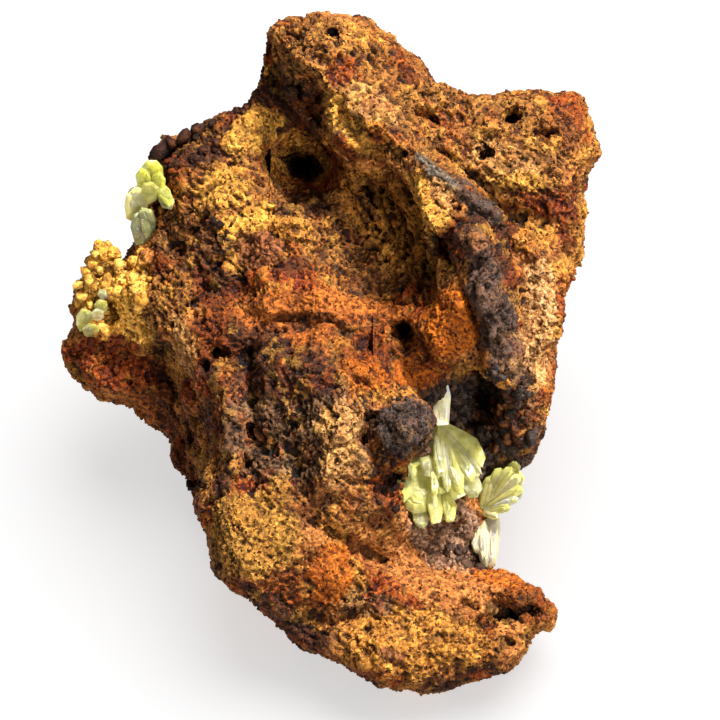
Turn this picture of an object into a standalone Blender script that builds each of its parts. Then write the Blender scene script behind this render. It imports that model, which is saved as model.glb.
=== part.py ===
"""Adamite on matrix: a rusty, pitted ironstone chunk with a hollow full of yellow-green crystal blades.

The specimen is laid out as if it lay on its back with its show face up: x runs to the right across the face,
y up the face and z out of it, in millimetres from the middle of the face. It is then tipped up by TIP and
stands on its broken base, which is cut flat at z = 0. The origin is on the surface that it stands on, under
the middle of the specimen.
"""

import math

import bmesh
import bpy
from mathutils import Matrix, Vector, noise

MM = 0.001
TIP = math.radians(45)  # how far the show face is tipped up from lying flat
FACE_HEIGHT = 32.0  # mm, height of the face's middle above the base
FACE_SHIFT = (4.418, -3.313)  # mm, moves the specimen's middle over the origin, in x and y
VIEW_DISTANCE = 600.0  # mm in front of the face, where the outline below is seen from
OUTLINE_SWELL = 1.012  # makes up for what smoothing takes off the outline
OUTLINE_DEPTH = 80.0  # mm before and behind the face's middle, more than the specimen reaches

SEED = 2  # of the noise that bends the masses
SKIN_CELL = 1.2  # mm, voxel size of the rock's skin
HOLLOW_CELL = 0.8  # mm, voxel size of the hollows and bosses
MATRIX_TRIANGLES = 5400  # before the pits and the crystals' sockets are cut
SOCKET_GAP = 0.3  # mm, clear all round between a crystal group and the rock that holds it

# How the masses are bent out of true: wavelength and reach in mm.
BENDS = [(12.0, 2.2), (5.0, 0.9)]
LUMP_SIZE, LUMP_HEIGHT = 13.0, 1.2  # mm
CRAG_SIZE, CRAG_HEIGHT = 9.0, 0.9  # mm
BLOCK_SIZE, CRACK_DEPTH = 8.0, 1.5  # mm
CRACK_WIDTH = 0.22  # as a share of a block

# The rock's outline across the show face, clockwise from the left corner of the peak.
OUTLINE = [
    (-13.9, 48.8), (-11.1, 51.2), (1.1, 50.9), (2.4, 48.9), (8.2, 44.6), (10.4, 41.1),
    (13.9, 39.6), (18.4, 39.0), (26.6, 40.2), (32.2, 39.6), (34.5, 34.5), (35.7, 31.9),
    (34.5, 28.5), (33.0, 24.9), (33.7, 21.4), (31.5, 13.1), (29.8, 9.4), (29.8, 5.2),
    (28.6, 0.8), (28.6, -4.5), (27.9, -7.5), (25.1, -12.7), (24.0, -15.0), (20.5, -18.0),
    (18.8, -21.5), (17.8, -25.0), (17.2, -28.0), (18.4, -30.6), (20.8, -31.0), (23.6, -32.2),
    (29.7, -37.3), (28.9, -39.4), (25.6, -40.3), (23.6, -43.9), (23.2, -45.7), (17.2, -47.4),
    (13.5, -49.3), (9.7, -50.2), (6.0, -49.5), (3.4, -48.4), (-4.5, -44.9), (-8.1, -43.5),
    (-12.0, -39.6), (-18.1, -35.6), (-22.1, -30.4), (-22.5, -25.5), (-24.9, -21.0), (-26.1, -19.5),
    (-26.2, -16.3), (-28.5, -15.1), (-31.5, -10.5), (-33.1, -7.5), (-36.4, -6.6), (-39.7, -5.6),
    (-42.4, -0.4), (-43.8, 1.1), (-42.7, 3.7), (-42.6, 10.1), (-41.6, 15.0), (-38.6, 16.9),
    (-36.0, 14.2), (-33.7, 16.5), (-33.0, 19.5), (-33.2, 22.5), (-31.2, 26.0), (-30.0, 29.5),
    (-30.5, 31.9), (-27.7, 33.9), (-24.0, 34.9), (-21.0, 36.6), (-17.2, 36.7), (-14.8, 41.2),
    (-14.0, 43.5),
]

# Rounded masses: centre, radii, turn about z in degrees.
MASSES = {
    "core": ((-2, -1, -16), (28, 37, 30), 0),
    "back": ((1, 10, -26), (27, 27, 24), 0),
    "base": ((-2, -14, -17), (25, 28, 26), 0),
    "peak": ((-3, 43, -7), (17, 14, 16), -10),
    "peak_corner": ((-10, 46, -4), (6, 7, 9), 0),
    "peak_shoulder": ((8, 41, -5), (10, 9, 12), -25),
    "plateau": ((18, 30, -9), (25, 18, 18), -12),
    "plateau_corner": ((28, 33, -8), (11, 10, 12), 0),
    "left_wing": ((-20, 24, -14), (22, 17, 16), 20),
    "wing_ledge": ((-25, 28, -6), (10, 7, 8), 25),
    "wing_step": ((-22, 18, -4), (11, 7, 9), 35),
    "left_lobe": ((-35, 4, -15), (14, 15, 12), 0),
    "lobe_top": ((-38, 11, -11), (7, 7, 7), 0),
    "brow": ((-12, 3, -3), (20, 8, 16), -8),
    "lower_face": ((-4, -13, 4), (18, 21, 16), 0),
    "lower_bulge": ((-12, -26, 4), (15, 15, 15), -30),
    "toe": ((7, -42, 5), (20, 13, 14), 5),
    "toe_tip": ((22, -37, 6), (9, 7, 8), -25),
    "nose": ((18.5, 8, 15), (5.0, 13, 9), 4),
    "nose_end": ((20.5, -1, 17), (4.5, 5, 6), 0),
    "right_wall": ((24, 6, -4), (9, 26, 15), 6),
    "cheek": ((13, 4.5, 10.5), (6, 7.5, 7), 20),
    "vug_floor": ((14, -20, -4), (15, 16, 13), 0),
    "right_pillar": ((24.5, -7, 4), (5.5, 10, 9), 10),
}

# Straight ridges: end, end, radius at each end.
RIDGES = {
    "crest": ((-5, 42, 2), (16, 18, 15), 8, 6),
    "flank_rib": ((-21, -2, 5), (-21, -26, 3), 5, 6),
    "shoulder": ((-28, 8, -2), (-18, 2, 5), 6, 6),
    "toe_ridge": ((-4, -33, 12), (20, -37, 10), 6, 4),
    "ledge_high": ((-24, 26, 1), (-12, 25, -1), 2.2, 1.8),
    "ledge_middle": ((-21, 20, 3), (-8, 21, 0), 2.0, 1.8),
    "ledge_low": ((-24, 12, 4), (-9, 14, 7), 2.4, 2.0),
}

# Hollows cut back into the face: centre, radii, turn about z in degrees.
HOLLOWS = {
    "bowl": ((0, 20, 16), (9, 12, 13), 35),
    "bowl_low": ((4, 12, 18), (9, 6, 9), -20),
    "cave": ((-9, 30, 4), (7, 4.5, 12), -35),
    "cave_mouth": ((-9, 26, 10), (8, 6, 11), -20),
    "left_bowl": ((-16, 20, 16), (9, 4.5, 12), 15),
    "peak_gully": ((-13, 38, 6), (3, 8, 8), 20),
    "vug": ((13, -13, 16), (7, 8, 13), 10),
    "vug_low": ((12, -21, 18), (6.5, 7, 12), 30),
    "vug_mouth": ((22, -22, 18), (8, 7, 18), -10),
    "vug_deep": ((18, -6, 11), (3.0, 3.2, 13), 0),
    "flank_recess": ((-26, -11, 6), (4, 7, 8), 15),
    "under_brow": ((-15, 1, 20), (8, 2.5, 7), -5),
    "plateau_dent": ((24, 22, 10), (6, 3, 6), -20),
}

# Small pits, cut last so that their rims stay sharp: centre, radii, turn about z in degrees.
PITS = {
    "hole": ((6.4, 3.7, 12), (2.3, 2.2, 5), 0),
    "small_hole": ((-21.4, 1.2, 8), (1.4, 1.5, 4), 0),
    "corner_pit": ((22.7, 36, 5), (2.2, 1.5, 3.5), 20),
    "plateau_slot": ((10.5, 36, 9), (3.4, 1.2, 4), -15),
    "plateau_pit": ((18.3, 30.8, 9), (1.3, 1.1, 3), 0),
    "rim_pit": ((28.0, 33.6, 6), (1.4, 0.9, 3), -10),
    "seam_pit": ((19.5, 24.5, 12), (2.2, 1.2, 4), -30),
    "wall_pit_1": ((3.5, 26, 6), (1.2, 2.4, 4), -20),
    "wall_pit_2": ((9.5, 18.5, 12), (1.4, 2.2, 4), -30),
    "cave_back": ((-10, 30.5, -5), (4, 2, 5), -20),
    "toe_slot": ((21.5, -37, 14), (4.5, 0.9, 6), -35),
}

# Bosses that stand in or beside the hollows: centre, radii, turn about z in degrees.
BOSSES = {
    "ball": ((6.7, -9.8, 14.5), (4.6, 5.2, 5.5), 0),
    "pillar": ((24.2, -8.5, 3), (4.6, 6.5, 8), 10),
    "pillar_foot": ((21.5, -13, 0), (4, 4.5, 7), 0),
    "vug_ledge": ((14.5, -26.5, 3), (4.5, 4.5, 6), 30),
    "knob_1": ((-38.4, 15.4, -6), (1.8, 1.8, 2.2), 0),
    "knob_2": ((-40.6, 13.6, -6), (1.9, 1.9, 2.2), 0),
    "knob_3": ((-33.9, 14.9, -5), (2.4, 2.4, 3), 0),
    "knob_4": ((-41.3, 10.8, -5), (2.0, 2.2, 2.6), 0),
    "knob_5": ((-37.0, 12.4, -4), (2.4, 2.4, 2.6), 0),
    "knob_6": ((-34.0, 8.6, -3), (3.6, 3.4, 3.6), 0),
    "knob_7": ((-40.9, 5.6, -4), (2.2, 2.2, 3), 0),
}

# Crystal blades: root, tip, width, thickness, roll about the blade's length in degrees.
VUG_SPRAY = [
    # the main fan, from its right side round to its left
    ((13.1, -9.4, 3.5), (18.5, -14.4, 9.0), 2.8, 1.5, 30),
    ((12.5, -9.4, 4.0), (16.9, -17.0, 12.5), 4.4, 2.0, 0),
    ((13.0, -10.4, 3.5), (18.1, -17.4, 9.6), 2.6, 1.7, 15),
    ((12.6, -11.6, 4.0), (17.2, -20.5, 12.2), 3.0, 2.0, -20),
    ((12.4, -12.0, 4.5), (15.5, -20.2, 13.8), 2.2, 1.7, 10),
    ((12.2, -12.0, 4.5), (14.2, -20.8, 14.4), 1.9, 1.6, 35),
    ((12.1, -12.8, 4.0), (13.7, -24.6, 12.8), 2.2, 1.8, 10),
    ((11.4, -12.8, 4.0), (11.4, -24.8, 13.4), 2.6, 1.9, -15),
    ((10.8, -12.8, 4.0), (10.4, -22.8, 14.2), 2.0, 1.7, 20),
    ((10.2, -13.0, 3.5), (9.0, -21.9, 13.6), 2.8, 2.2, -30),
    ((9.8, -13.0, 3.0), (7.4, -22.2, 12.2), 4.2, 2.8, 10),
    ((9.2, -13.4, 2.5), (6.3, -20.0, 11.2), 3.0, 2.2, -20),
    ((10.8, -12.4, 5.0), (10.0, -17.9, 15.2), 2.2, 1.8, 0),
    ((10.2, -16.5, 7.0), (9.1, -25.6, 11.4), 2.0, 1.7, 25),
    # the pale blade above it
    ((12.9, -3.4, 5.6), (12.9, -12.4, 6.6), 2.6, 1.6, 0),
    # the fan on the right, and the blade that joins the two
    ((18.8, -21.0, 0.5), (17.6, -17.6, 9.4), 2.4, 1.8, 20),
    ((18.9, -20.6, 0.0), (23.5, -15.4, 7.4), 2.7, 1.6, 0),
    ((18.8, -20.4, 1.0), (21.1, -16.2, 8.4), 2.4, 1.6, 25),
    ((19.2, -20.8, 0.0), (24.6, -17.6, 6.8), 2.5, 1.6, -20),
    ((19.0, -21.2, 0.5), (24.4, -20.0, 6.8), 2.2, 1.7, 10),
    ((18.8, -21.6, 0.5), (23.2, -22.0, 7.0), 2.1, 1.5, 35),
    ((18.6, -21.8, 0.5), (21.8, -23.6, 7.2), 1.9, 1.5, 0),
    ((18.5, -21.8, 0.5), (19.8, -24.2, 8.0), 1.9, 1.5, -25),
    ((18.8, -20.8, 1.0), (21.6, -19.0, 10.4), 2.6, 1.8, 15),
    ((18.7, -21.2, 1.0), (20.2, -20.4, 9.8), 2.2, 1.7, -10),
    ((18.8, -21.2, 1.0), (22.4, -20.9, 9.4), 2.0, 1.6, 20),
]
PALE_CRUST = [
    ((17.6, -23.8, -3.6), (18.0, -30.2, -1.2), 2.2, 2.4, 10),
    ((18.4, -24.0, -3.8), (19.2, -30.9, -1.8), 2.3, 2.6, -15),
    ((18.8, -23.8, -4.4), (20.3, -30.0, -3.0), 2.2, 2.6, 20),
    ((18.2, -24.2, -5.6), (19.6, -29.6, -4.8), 2.6, 2.6, 0),
    ((17.8, -24.6, -2.2), (18.7, -29.0, 0.2), 1.8, 1.8, 30),
]
UPPER_LEFT_GROUP = [
    ((-29.4, 26.2, -2.4), (-31.0, 29.6, 1.2), 2.8, 2.4, 10),
    ((-29.2, 26.4, -2.4), (-29.2, 28.8, 2.0), 2.4, 2.2, -20),
    ((-29.4, 25.8, -2.6), (-32.9, 27.4, 0.6), 2.8, 2.4, 30),
    ((-29.4, 25.6, -2.4), (-31.2, 26.4, 2.6), 3.0, 2.6, 0),
    ((-29.2, 25.4, -2.4), (-29.2, 25.2, 2.8), 2.6, 2.4, 45),
    ((-30.2, 24.2, -3.0), (-34.4, 24.6, -0.2), 2.4, 2.4, 15),
    ((-30.4, 24.0, -3.2), (-35.1, 22.4, -1.2), 2.8, 2.4, -25),
    ((-30.4, 23.4, -3.2), (-33.4, 21.2, 0.2), 2.6, 2.2, 10),
    ((-30.6, 21.6, -4.0), (-34.0, 19.6, -1.8), 2.8, 2.4, 35),
    ((-30.8, 21.0, -4.0), (-33.8, 17.6, -1.6), 2.6, 2.4, 0),
]
LEFT_GROUP = [
    ((-37.6, 8.4, -6.4), (-38.3, 10.8, -0.6), 2.4, 2.0, 10),
    ((-37.8, 8.2, -6.4), (-38.8, 8.0, 0.2), 2.6, 2.0, 40),
    ((-37.8, 7.8, -6.4), (-40.0, 6.4, -0.8), 2.4, 2.0, -15),
    ((-37.4, 7.6, -6.4), (-37.4, 5.6, -0.4), 2.0, 1.8, 20),
    ((-38.2, 7.8, -6.8), (-41.4, 8.6, -2.8), 2.4, 2.0, 0),
]
CRYSTALS = {
    "adamite_vug_spray": VUG_SPRAY,
    "pale_crust": PALE_CRUST,
    "adamite_upper_left": UPPER_LEFT_GROUP,
    "adamite_left": LEFT_GROUP,
}

# Colour, roughness and transmission of each piece's material.
FINISHES = {
    "matrix": ((0.36, 0.16, 0.05), 0.9, 0.0),
    "adamite_vug_spray": ((0.72, 0.80, 0.26), 0.12, 0.7),
    "pale_crust": ((0.86, 0.85, 0.72), 0.4, 0.3),
    "adamite_upper_left": ((0.70, 0.74, 0.20), 0.15, 0.6),
    "adamite_left": ((0.78, 0.80, 0.30), 0.15, 0.6),
}


def clear_scene():
    for obj in list(bpy.data.objects):
        bpy.data.objects.remove(obj, do_unlink=True)


def new_object(name, bm):
    mesh = bpy.data.meshes.new(name)
    bm.to_mesh(mesh)
    bm.free()
    obj = bpy.data.objects.new(name, mesh)
    bpy.context.scene.collection.objects.link(obj)
    return obj


def apply_modifier(obj, kind, **settings):
    modifier = obj.modifiers.new(kind.lower(), kind)
    for name, value in settings.items():
        setattr(modifier, name, value)
    graph = bpy.context.evaluated_depsgraph_get()
    mesh = bpy.data.meshes.new_from_object(obj.evaluated_get(graph))
    obj.modifiers.clear()
    obj.data = mesh


def join(obj, other, operation):
    """Unites obj with other, cuts other out of it or keeps what both share; other is used up."""
    apply_modifier(obj, "BOOLEAN", operation=operation, object=other, solver="EXACT")
    bpy.data.objects.remove(other, do_unlink=True)


def add_ellipsoid(bm, centre, radii, turn, subdivisions=4):
    placed = (
        Matrix.Translation(Vector(centre) * MM)
        @ Matrix.Rotation(math.radians(turn), 4, "Z")
        @ Matrix.Diagonal((*(r * MM for r in radii), 1))
    )
    bmesh.ops.create_icosphere(bm, subdivisions=subdivisions, radius=1, matrix=placed)


def add_ridge(bm, start, end, start_radius, end_radius):
    """A straight round ridge: a row of balls, close enough to read as one."""
    balls = 24
    for i in range(balls + 1):
        t = i / balls
        centre = Vector(start).lerp(Vector(end), t)
        radius = start_radius + (end_radius - start_radius) * t
        add_ellipsoid(bm, centre, (radius, radius, radius), 0)


def bend(point):
    p = point / MM
    moved = Vector()
    for size, reach in BENDS:
        moved += noise.noise_vector(p / size + Vector((0, 0, size))) * reach
    return point + moved * MM


def fused(name, rounds, ridges, cell):
    """The shapes under one skin, bent out of true so that none reads as an egg."""
    bm = bmesh.new()
    for centre, radii, turn in rounds.values():
        add_ellipsoid(bm, centre, radii, turn)
    for start, end, start_radius, end_radius in ridges.values():
        add_ridge(bm, start, end, start_radius, end_radius)
    for v in bm.verts:
        v.co = bend(v.co)
    obj = new_object(name, bm)
    apply_modifier(obj, "REMESH", mode="VOXEL", voxel_size=cell * MM)
    return obj


def outline_solid():
    """The outline as a solid that narrows towards where it is seen from."""
    bm = bmesh.new()
    rings = []
    for depth in (-OUTLINE_DEPTH, OUTLINE_DEPTH):
        scale = OUTLINE_SWELL * (VIEW_DISTANCE - depth) / VIEW_DISTANCE
        rings.append([bm.verts.new(Vector((x * scale, y * scale, depth)) * MM) for x, y in OUTLINE])
    back, front = rings
    bm.faces.new(back)
    bm.faces.new(front)
    for i in range(len(OUTLINE)):
        bm.faces.new((back[i - 1], back[i], front[i], front[i - 1]))
    bmesh.ops.recalc_face_normals(bm, faces=bm.faces)
    return new_object("outline", bm)


def weather(obj):
    """Lumps, crags and cracked blocks over the whole skin, pushed in or out along its normals."""
    vertices = obj.data.vertices
    normals = [v.normal.copy() for v in vertices]
    for v, normal in zip(vertices, normals):
        p = v.co / MM
        lump = noise.fractal(p / LUMP_SIZE, 1.0, 2.0, 3)
        crag = noise.ridged_multi_fractal(p / CRAG_SIZE, 1.0, 2.1, 3, 1.0, 2.0) - 1.2
        near, far = noise.voronoi(p / BLOCK_SIZE + noise.noise_vector(p / BLOCK_SIZE) * 0.6)[0][:2]
        crack = max(0.0, 1 - (far - near) / CRACK_WIDTH)
        v.co += normal * MM * (LUMP_HEIGHT * lump + CRAG_HEIGHT * crag - CRACK_DEPTH * crack)


def keep_largest(obj):
    """Drops any crumb that a cut has left loose."""
    bm = bmesh.new()
    bm.from_mesh(obj.data)
    seen = set()
    bodies = []
    for start in bm.verts:
        if start in seen:
            continue
        body = [start]
        seen.add(start)
        for v in body:
            for edge in v.link_edges:
                other = edge.other_vert(v)
                if other not in seen:
                    seen.add(other)
                    body.append(other)
        bodies.append(body)
    bodies.sort(key=len)
    crumbs = [v for body in bodies[:-1] for v in body]
    bmesh.ops.delete(bm, geom=crumbs, context="VERTS")
    bm.to_mesh(obj.data)
    bm.free()


def blade(spec, grown):
    """One flat-faced crystal: a six-sided blade that widens from its root and ends in a chisel edge."""
    root, tip, width, thickness, roll = spec
    root, tip = Vector(root), Vector(tip)
    length = (tip - root).length
    along = (tip - root).normalized()
    side = Matrix.Rotation(math.radians(roll), 3, along) @ along.cross(Vector((0, 0, 1))).normalized()
    face = side.cross(along)
    stations = (
        (-grown, 0.38 * width + grown, 0.4 * thickness + grown),
        (0.78 * length, 0.5 * width + grown, 0.5 * thickness + grown),
    )
    bm = bmesh.new()
    for at, half_width, half_thickness in stations:
        for x, y in ((1, 0), (0.6, 1), (-0.6, 1), (-1, 0), (-0.6, -1), (0.6, -1)):
            bm.verts.new((root + along * at + side * x * half_width + face * y * half_thickness) * MM)
    for x in (0.3, -0.26):
        bm.verts.new((root + along * (length + grown) + side * x * (width + grown)) * MM)
    bmesh.ops.convex_hull(bm, input=bm.verts)
    bmesh.ops.recalc_face_normals(bm, faces=bm.faces)
    return new_object("blade", bm)


def crystal_group(name, blades, grown=0.0):
    group = blade(blades[0], grown)
    group.name = name
    for spec in blades[1:]:
        join(group, blade(spec, grown), "UNION")
    return group


def pit(centre, radii, turn):
    bm = bmesh.new()
    add_ellipsoid(bm, centre, radii, turn, subdivisions=2)
    return new_object("pit", bm)


def stand_up(obj):
    """From lying on its back to standing on its base."""
    placed = Matrix.Translation(Vector((*FACE_SHIFT, FACE_HEIGHT)) * MM) @ Matrix.Rotation(TIP, 4, "X")
    obj.data.transform(placed)


def cut_base(obj):
    size = 0.4
    bm = bmesh.new()
    bmesh.ops.create_cube(bm, size=size, matrix=Matrix.Translation((0, 0, -size / 2)))
    join(obj, new_object("base_cutter", bm), "DIFFERENCE")


def make_matrix():
    rock = fused("matrix", MASSES, RIDGES, SKIN_CELL)
    join(rock, outline_solid(), "INTERSECT")
    join(rock, fused("hollows", HOLLOWS, {}, HOLLOW_CELL), "DIFFERENCE")
    join(rock, fused("bosses", BOSSES, {}, HOLLOW_CELL), "UNION")
    apply_modifier(rock, "REMESH", mode="VOXEL", voxel_size=SKIN_CELL * MM)
    apply_modifier(rock, "SMOOTH", factor=0.5, iterations=1)
    weather(rock)
    apply_modifier(rock, "REMESH", mode="VOXEL", voxel_size=SKIN_CELL * MM)
    triangles = sum(len(p.vertices) - 2 for p in rock.data.polygons)
    apply_modifier(rock, "DECIMATE", ratio=MATRIX_TRIANGLES / triangles, use_collapse_triangulate=True)
    for centre, radii, turn in PITS.values():
        join(rock, pit(centre, radii, turn), "DIFFERENCE")
    for name, blades in CRYSTALS.items():
        join(rock, crystal_group(name + "_socket", blades, SOCKET_GAP), "DIFFERENCE")
    stand_up(rock)
    cut_base(rock)
    keep_largest(rock)
    return rock


def give_finish(obj):
    colour, roughness, transmission = FINISHES[obj.name]
    material = bpy.data.materials.new(obj.name)
    material.use_nodes = True
    shader = material.node_tree.nodes["Principled BSDF"]
    shader.inputs["Base Color"].default_value = (*colour, 1)
    shader.inputs["Roughness"].default_value = roughness
    shader.inputs["Transmission Weight"].default_value = transmission
    obj.data.materials.clear()
    obj.data.materials.append(material)


def main():
    clear_scene()
    noise.seed_set(SEED)
    pieces = [make_matrix()]
    for name, blades in CRYSTALS.items():
        group = crystal_group(name, blades)
        stand_up(group)
        pieces.append(group)
    for piece in pieces:
        give_finish(piece)


main()
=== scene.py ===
"""The finished look of an adamite specimen: a pitted limonite rock with crystal blades in its hollow."""

import math

import bmesh
import bpy
import numpy as np
from mathutils import Matrix, Vector


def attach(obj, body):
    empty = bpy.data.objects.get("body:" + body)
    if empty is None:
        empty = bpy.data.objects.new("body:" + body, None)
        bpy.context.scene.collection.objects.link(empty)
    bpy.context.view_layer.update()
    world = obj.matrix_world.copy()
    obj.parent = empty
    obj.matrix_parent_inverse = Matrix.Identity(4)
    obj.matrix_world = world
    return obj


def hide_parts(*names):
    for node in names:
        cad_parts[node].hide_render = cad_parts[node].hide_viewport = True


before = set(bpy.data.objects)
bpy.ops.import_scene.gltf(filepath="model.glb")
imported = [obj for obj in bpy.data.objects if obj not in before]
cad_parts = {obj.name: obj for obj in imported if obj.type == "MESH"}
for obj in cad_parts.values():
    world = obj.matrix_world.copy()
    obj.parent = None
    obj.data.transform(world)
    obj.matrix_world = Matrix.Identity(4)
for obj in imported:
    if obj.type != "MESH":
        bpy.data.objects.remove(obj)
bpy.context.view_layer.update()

MM = 0.001
SEED = 5

# The show face: x runs right across it, y up it and z out of it, from its middle.
FACE_MIDDLE = Vector((4.418, -3.313, 32.0)) * MM
FACE_TIP = math.radians(45)
FACE = Matrix.Translation(FACE_MIDDLE) @ Matrix.Rotation(FACE_TIP, 4, "X")
TO_FACE = FACE.inverted()

# The view of the show face.
LENS, SENSOR = 200.0, 36.0  # mm
VIEW_WIDTH = 108 * MM
VIEW_DISTANCE = VIEW_WIDTH * LENS / SENSOR
VIEW_PIXELS = 720
EYE = FACE @ Vector((0, 0, VIEW_DISTANCE))
PIXEL = VIEW_WIDTH / VIEW_PIXELS  # size on the face of one pixel of the view

# Rock surface.
SCULPT_CELL = 0.50 * MM  # of the mesh that is sculpted
ROCK_CELL = 0.25 * MM  # of the mesh that is weathered
MERGE_DISTANCE = 0.01 * MM
LATTICE = 64  # cells after which the random fields repeat
CHIP_LEANS = 256  # ways in which a broken facet can lean
SCULPT_ROUNDS, WEATHER_ROUNDS, BACK_ROUNDS = 12, 5, 120  # of smoothing: of the two meshes, and of the back
BACK_SWELL, BACK_SWELL_SIZE = 2.2, 22  # mm
GRAIN_WAY, GRAIN_SHARE = (0.77, -0.64, 0), 0.45  # the grain's way, and how far patterns run along it
SLOT_WAY, SLOT_SHARE = (0.45, -0.89, 0), 0.72  # the same for the slots
LEDGE_TOP, LEDGE_SQUASH = 0.40, 0.35  # mm over which raised relief is flattened, and to what share

# Minerals: body colour, colour of its raised edges (dust, and painted highlight), then the depth of its
# sponge pits and pores and the height of its nodules and crags in mm, and its gloss from 0 to 1.
MINERALS = {
    "golden_brown": ((0.0551, 0.0171, 0.0022), (0.1936, 0.0777, 0.0133), 0.90, 0.42, 0.0, 0.55, 0.25),
    "ochre": ((0.1542, 0.0574, 0.0059), (0.3333, 0.1406, 0.0208), 0.60, 0.34, 0.0, 0.40, 0.25),
    "gold": ((0.3326, 0.1537, 0.0185), (0.5320, 0.2746, 0.0429), 0.30, 0.28, 0.05, 0.25, 0.15),
    "straw": ((0.4074, 0.1790, 0.0189), (0.6111, 0.3338, 0.0638), 0.10, 0.16, 0.65, 0.15, 0.15),
    "tan": ((0.1683, 0.0734, 0.0192), (0.3487, 0.1793, 0.0548), 0.45, 0.34, 0.0, 0.35, 0.15),
    "olive": ((0.1142, 0.0481, 0.0060), (0.2555, 0.1238, 0.0199), 0.35, 0.42, 0.0, 0.28, 0.10),
    "rust": ((0.0359, 0.0063, 0.0001), (0.1176, 0.0240, 0.0003), 0.50, 0.34, 0.0, 0.40, 0.20),
    "orange": ((0.1680, 0.0346, 0.0006), (0.2755, 0.0702, 0.0022), 0.10, 0.26, 0.0, 0.22, 0.20),
    "salmon": ((0.1463, 0.0367, 0.0041), (0.2777, 0.0806, 0.0110), 0.06, 0.24, 0.0, 0.18, 0.10),
    "terracotta": ((0.1959, 0.0598, 0.0119), (0.2885, 0.1120, 0.0260), 0.12, 0.28, 0.0, 0.28, 0.15),
    "brick": ((0.0732, 0.0078, 0.0004), (0.1944, 0.0389, 0.0023), 0.60, 0.34, 0.05, 0.50, 0.25),
    "umber": ((0.0088, 0.0021, 0.0002), (0.0459, 0.0123, 0.0019), 0.85, 0.36, 0.0, 0.60, 0.25),
    "mauve": ((0.0621, 0.0173, 0.0037), (0.1726, 0.0593, 0.0176), 0.15, 0.20, 0.25, 0.50, 0.40),
    "slate": ((0.0161, 0.0067, 0.0034), (0.0627, 0.0321, 0.0192), 0.08, 0.15, 0.12, 0.75, 0.55),
    "slate_black": ((0.0102, 0.0054, 0.0034), (0.0467, 0.0298, 0.0222), 0.20, 0.18, 0.85, 0.50, 0.55),
    "grey_vein": ((0.0464, 0.0359, 0.0248), (0.1025, 0.0812, 0.0580), 0.05, 0.10, 0.0, 0.25, 0.55),
    "lilac": ((0.0978, 0.0444, 0.0224), (0.2415, 0.1380, 0.0840), 0.05, 0.15, 0.30, 0.50, 0.45),
    "drab": ((0.0169, 0.0070, 0.0024), (0.1159, 0.0608, 0.0263), 0.60, 0.42, 0.0, 0.50, 0.25),
    "buff": ((0.2244, 0.0999, 0.0255), (0.4032, 0.2240, 0.0920), 0.30, 0.30, 0.0, 0.35, 0.15),
    # The last row is no mineral: near-black painted shade for the cave, the holes, gaps and crevices.
    "painted_hole_shade": ((0.009, 0.003, 0.0016), (0.037, 0.013, 0.0047), 0.8, 0.3, 0.0, 0.5, 0.1),
}
SPONGE, PORES, NODULES, CRAGS, GLOSS = range(6, 11)  # columns that follow the two colours

CLOUD_SIZE, DARK_CLOUD_SIZE = 15, 10  # mm, of the minerals that lie in clouds all over the rock
FINE_ROUNDS, WIDE_ROUNDS = 5, 40  # of evening out, to find the small hollows and the large ones

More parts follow.
